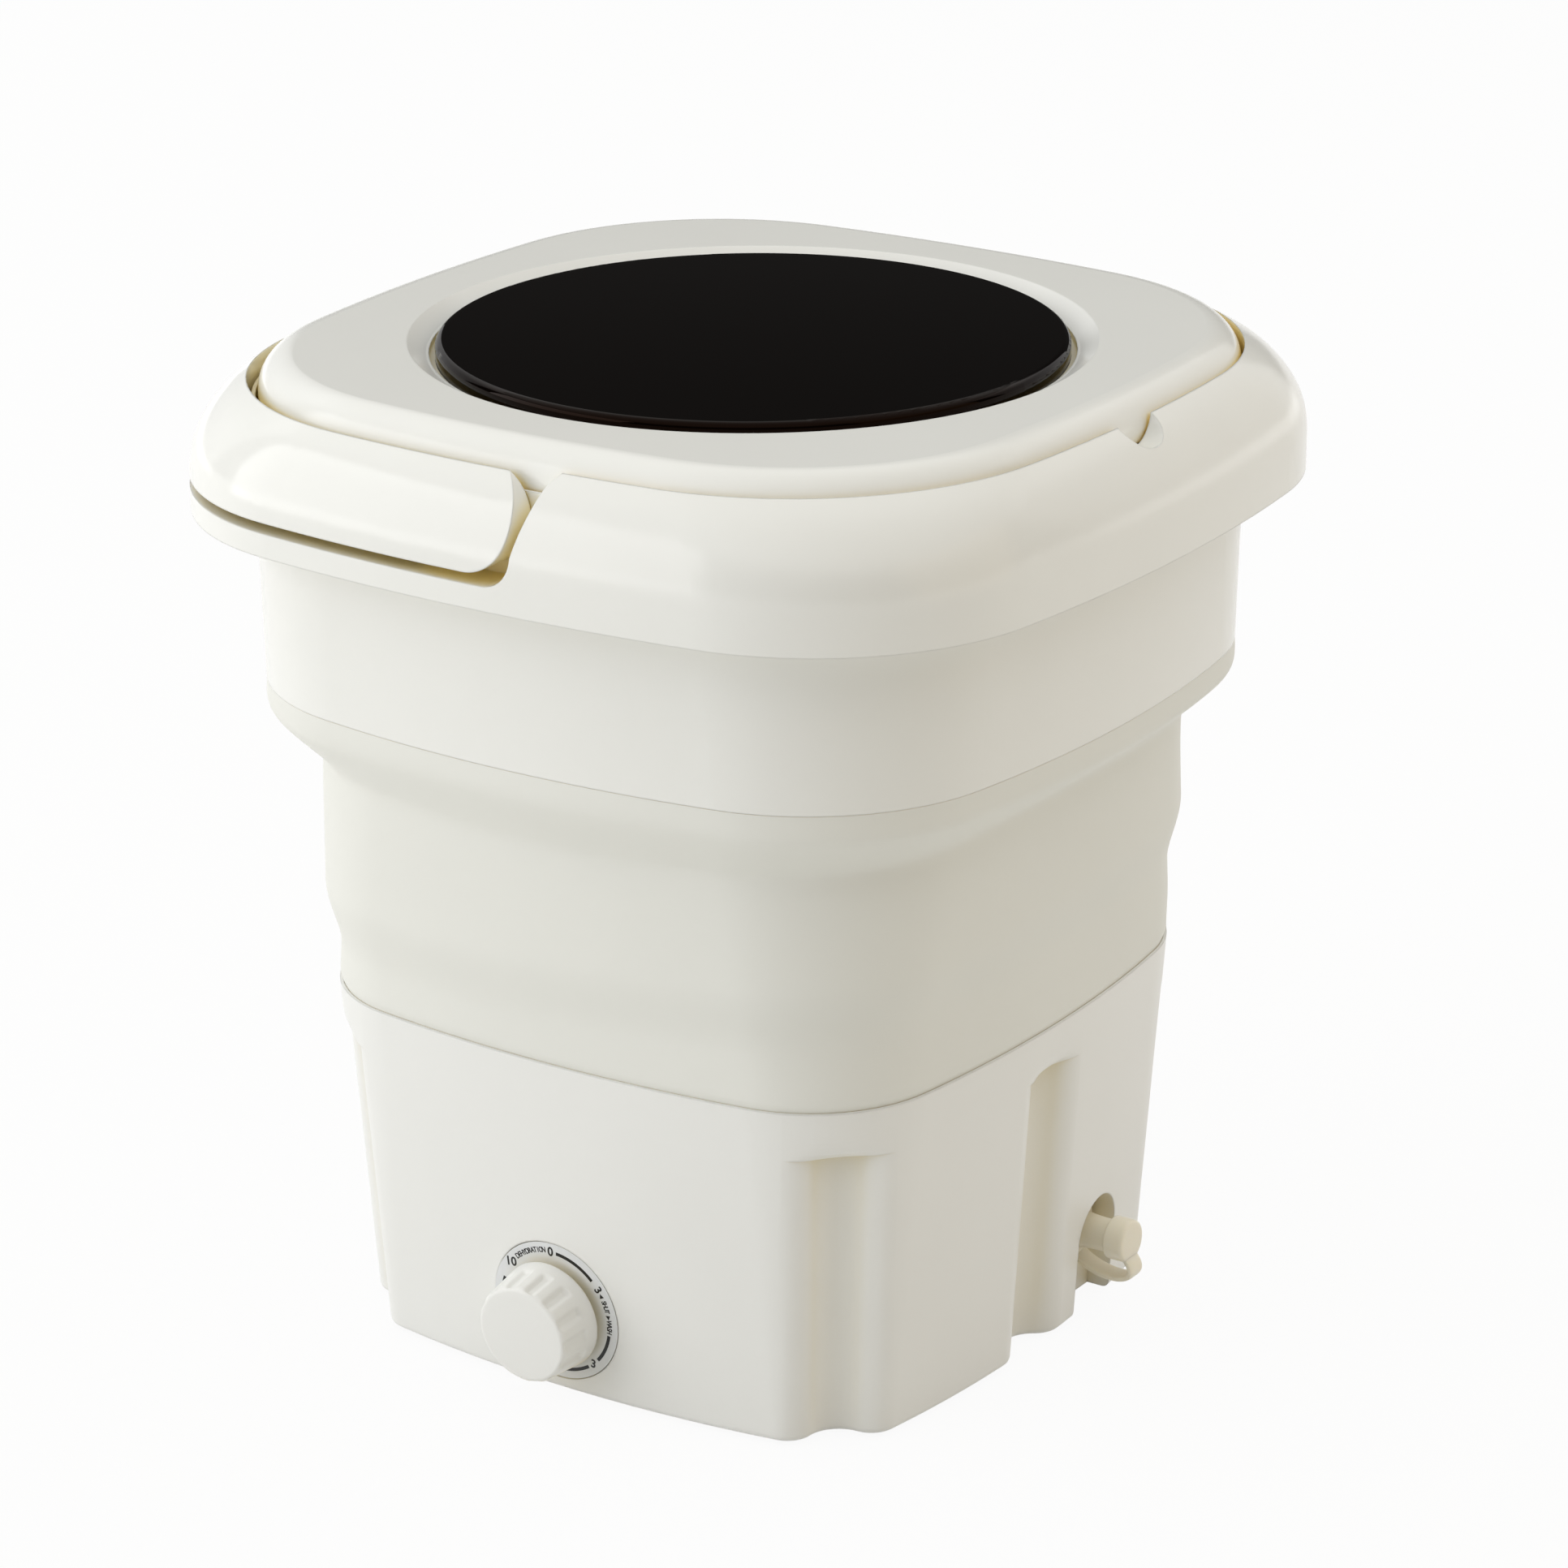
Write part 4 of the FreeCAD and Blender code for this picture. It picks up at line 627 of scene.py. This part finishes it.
def placeGlyph(points, angle, radius, lean):
    # Leans a flat figure in its own plane and sets it at an angle and radius on the dial
    a, t = math.radians(angle), math.radians(lean)
    x = points[:, 0] * math.cos(t) - points[:, 1] * math.sin(t) + radius * math.cos(a)
    y = points[:, 0] * math.sin(t) + points[:, 1] * math.cos(t) + radius * math.sin(a)
    return onDial(x, y, points[:, 2])


def makeDialPrint(s):
    # Each letter of a word has an equal share of its span and stands square to its radius
    low, high = s["lift"]
    pointSets, faceSets, base = [], [], 0

    def add(points, faces):
        nonlocal base
        pointSets.append(points)
        faceSets.append(faces + base)
        base += len(points)

    for start, end in s["arcs"]:
        add(*arcPlate(start, end, s["radius"], s["lineWidth"], low, high))
    for text, angle, radius, height, lean in s["figures"]:
        points, faces = glyphMesh(text, height, s)
        add(placeGlyph(points, angle, radius, lean), faces)
    for word, middle, radius, height, span in s["words"]:
        step = span / len(word)
        for i, letter in enumerate(word):
            angle = middle + span / 2 - step * (i + 0.5)
            points, faces = glyphMesh(letter, height, s)
            points[:, 0] *= s["narrow"]
            add(placeGlyph(points, angle, radius, angle - 90), faces)
    for angle, radius, size, way in s["arrows"]:
        tip = np.array([[-s["arrowHalf"], 0], [s["arrowHalf"], 0], [0, 1.0]]) * size * np.array([1, way])
        flat = np.concatenate([np.c_[tip, np.full(3, low)], np.c_[tip, np.full(3, high)]])
        faces = np.array([[3, 4, 5], [2, 1, 0], [0, 1, 4], [0, 4, 3],
                          [1, 2, 5], [1, 5, 4], [2, 0, 3], [2, 3, 5]])
        add(placeGlyph(flat, angle, radius, angle), faces if way > 0 else faces[:, ::-1])
    ink = moulded("blackInk", s["ink"], 0.5, 0.5, 0.05, cloud=0.15)
    points = np.concatenate(pointSets)
    piece = makePiece("dialPrint", points, faceSets, "part_black", sharp=s["sharp"], material=ink)
    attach(piece, "base")


makeDialPrint(dialPrint)
print("dial print made")

# Drain: a flanged spout that leaves the niche, and a push-on cap on a strap
drain = {
    "columns": 72,
    "refine": 4,                  # steps between profile points
    "axis": (46.5, 32.0),         # y and z of the spout's axis
    # Radius and x, outside from the hose end to the mouth, then back through the bore
    "spout": [
        (5.6, 93.6), (6.4, 94.4), (6.4, 111.2), (6.45, 112.1), (12.6, 112.15), (13.4, 112.9), (13.4, 114.6),
        (12.6, 115.3), (9.4, 115.6), (8.2, 116.4), (7.5, 118.0), (7.0, 120.6), (6.5, 126.0), (6.45, 135.0),
        (6.3, 137.3), (5.7, 137.9), (4.7, 137.9), (4.5, 137.4), (4.5, 94.2), (4.9, 93.6),
    ],
    # Radius and x, from the middle of the bore's end round to the middle of the face
    "cap": [
        (0.0, 138.5), (3.0, 138.5), (6.2, 138.4), (6.75, 138.0), (6.75, 133.0), (6.9, 132.5), (7.9, 132.5),
        (8.4, 133.0), (8.4, 138.6), (8.3, 139.7), (7.9, 140.5), (6.9, 140.8), (5.2, 140.9), (2.6, 140.95),
        (0.0, 141.0),
    ],
    "strap": [(117.4, 21.6), (127.0, 14.0), (149.5, 14.5), (139.6, 25.6)],      # x and z of its Bezier points
    "strapSize": (9.0, 2.4),
    "strapRows": 48,
    "strapSquare": 4.0,           # power of the rounded-rectangle section
    "sharp": 45,
}


def spunAlongX(profile, s, closed):
    # A profile of radius and x, rounded by a Catmull-Rom curve through its points, carried round the axis.
    # A closed profile is a ring, an open one starts and ends on the axis.
    p = np.array(profile)
    if closed:
        p = np.concatenate([p[-1:], p, p[:2]])
    else:
        p = np.concatenate([p[:1], p, p[-1:]])
    before, here, after, later = p[:-3, None], p[1:-2, None], p[2:-1, None], p[3:, None]
    t = np.linspace(0, 1, s["refine"], endpoint=False)[None, :, None]
    curve = here + 0.5 * t * (after - before + t * (
        2 * before - 5 * here + 4 * after - later + t * (3 * here - 3 * after + later - before)))
    curve = curve.reshape(-1, 2)
    if not closed:
        curve = curve[1:]
    turn = np.linspace(0, 2 * math.pi, s["columns"], endpoint=False)[None, :]
    r, x = curve[:, :1], curve[:, 1:]
    y0, z0 = s["axis"]
    points = np.stack([x + 0 * turn, y0 + r * np.cos(turn), z0 + r * np.sin(turn)], axis=-1).reshape(-1, 3)
    faces = [gridFaces(len(curve), s["columns"], loopRows=closed)]
    if not closed:
        count = len(points)
        points = np.concatenate([points, [(p[0, 1], y0, z0), (p[-1, 1], y0, z0)]])
        faces.append(fanFaces(0, s["columns"], count, turned=True))
        faces.append(fanFaces(count - s["columns"], s["columns"], count + 1, turned=False))
    return points * mm, faces


def strapBand(s):
    # A rounded rectangle, the superellipse whose shares of half the width and half the thickness, each to the
    # power strapSquare, add up to one, carried along a cubic Bezier curve below the spout
    t = np.linspace(0, 1, s["strapRows"])[:, None]
    a, b, c, d = (np.array(p)[None, :] for p in s["strap"])
    path = (1 - t) ** 3 * a + 3 * (1 - t) ** 2 * t * b + 3 * (1 - t) * t ** 2 * c + t ** 3 * d
    way = (1 - t) ** 2 * (b - a) + 2 * (1 - t) * t * (c - b) + t ** 2 * (d - c)
    way = way / np.linalg.norm(way, axis=1, keepdims=True)
    columns = s["columns"]
    turn = np.linspace(0, 2 * math.pi, columns, endpoint=False)[None, :]
    power = 2 / s["strapSquare"]
    across = np.sign(np.cos(turn)) * np.abs(np.cos(turn)) ** power * s["strapSize"][0] / 2
    thick = np.sign(np.sin(turn)) * np.abs(np.sin(turn)) ** power * s["strapSize"][1] / 2
    x = path[:, :1] - way[:, 1:] * thick
    y = s["axis"][0] + across + 0 * t
    z = path[:, 1:] + way[:, :1] * thick
    points = np.stack([x, y, z], axis=-1)
    ends = np.stack([path[:, 0], np.full(len(t), s["axis"][0]), path[:, 1]], axis=-1)[[0, -1]]
    count = len(t) * columns
    fans = [fanFaces(0, columns, count, turned=True),
            fanFaces(count - columns, columns, count + 1, turned=False)]
    return np.concatenate([points.reshape(-1, 3), ends]) * mm, [gridFaces(len(t), columns)] + fans


def makeDrain(s):
    points, faces = spunAlongX(s["spout"], s, closed=True)
    spout = makePiece("drainSpout", points, faces, slotOf["drain_spout"], sharp=s["sharp"])
    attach(spout, "base")
    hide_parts("drain_spout")
    points, faces = spunAlongX(s["cap"], s, closed=False)
    bandPoints, bandFaces = strapBand(s)
    joined = faces + [f + len(points) for f in bandFaces]
    points = np.concatenate([points, bandPoints])
    cap = makePiece("drainCap", points, joined, slotOf["drain_cap"], sharp=s["sharp"])
    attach(cap, "drain_plug")
    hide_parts("drain_cap")


makeDrain(drain)
print("drain made")
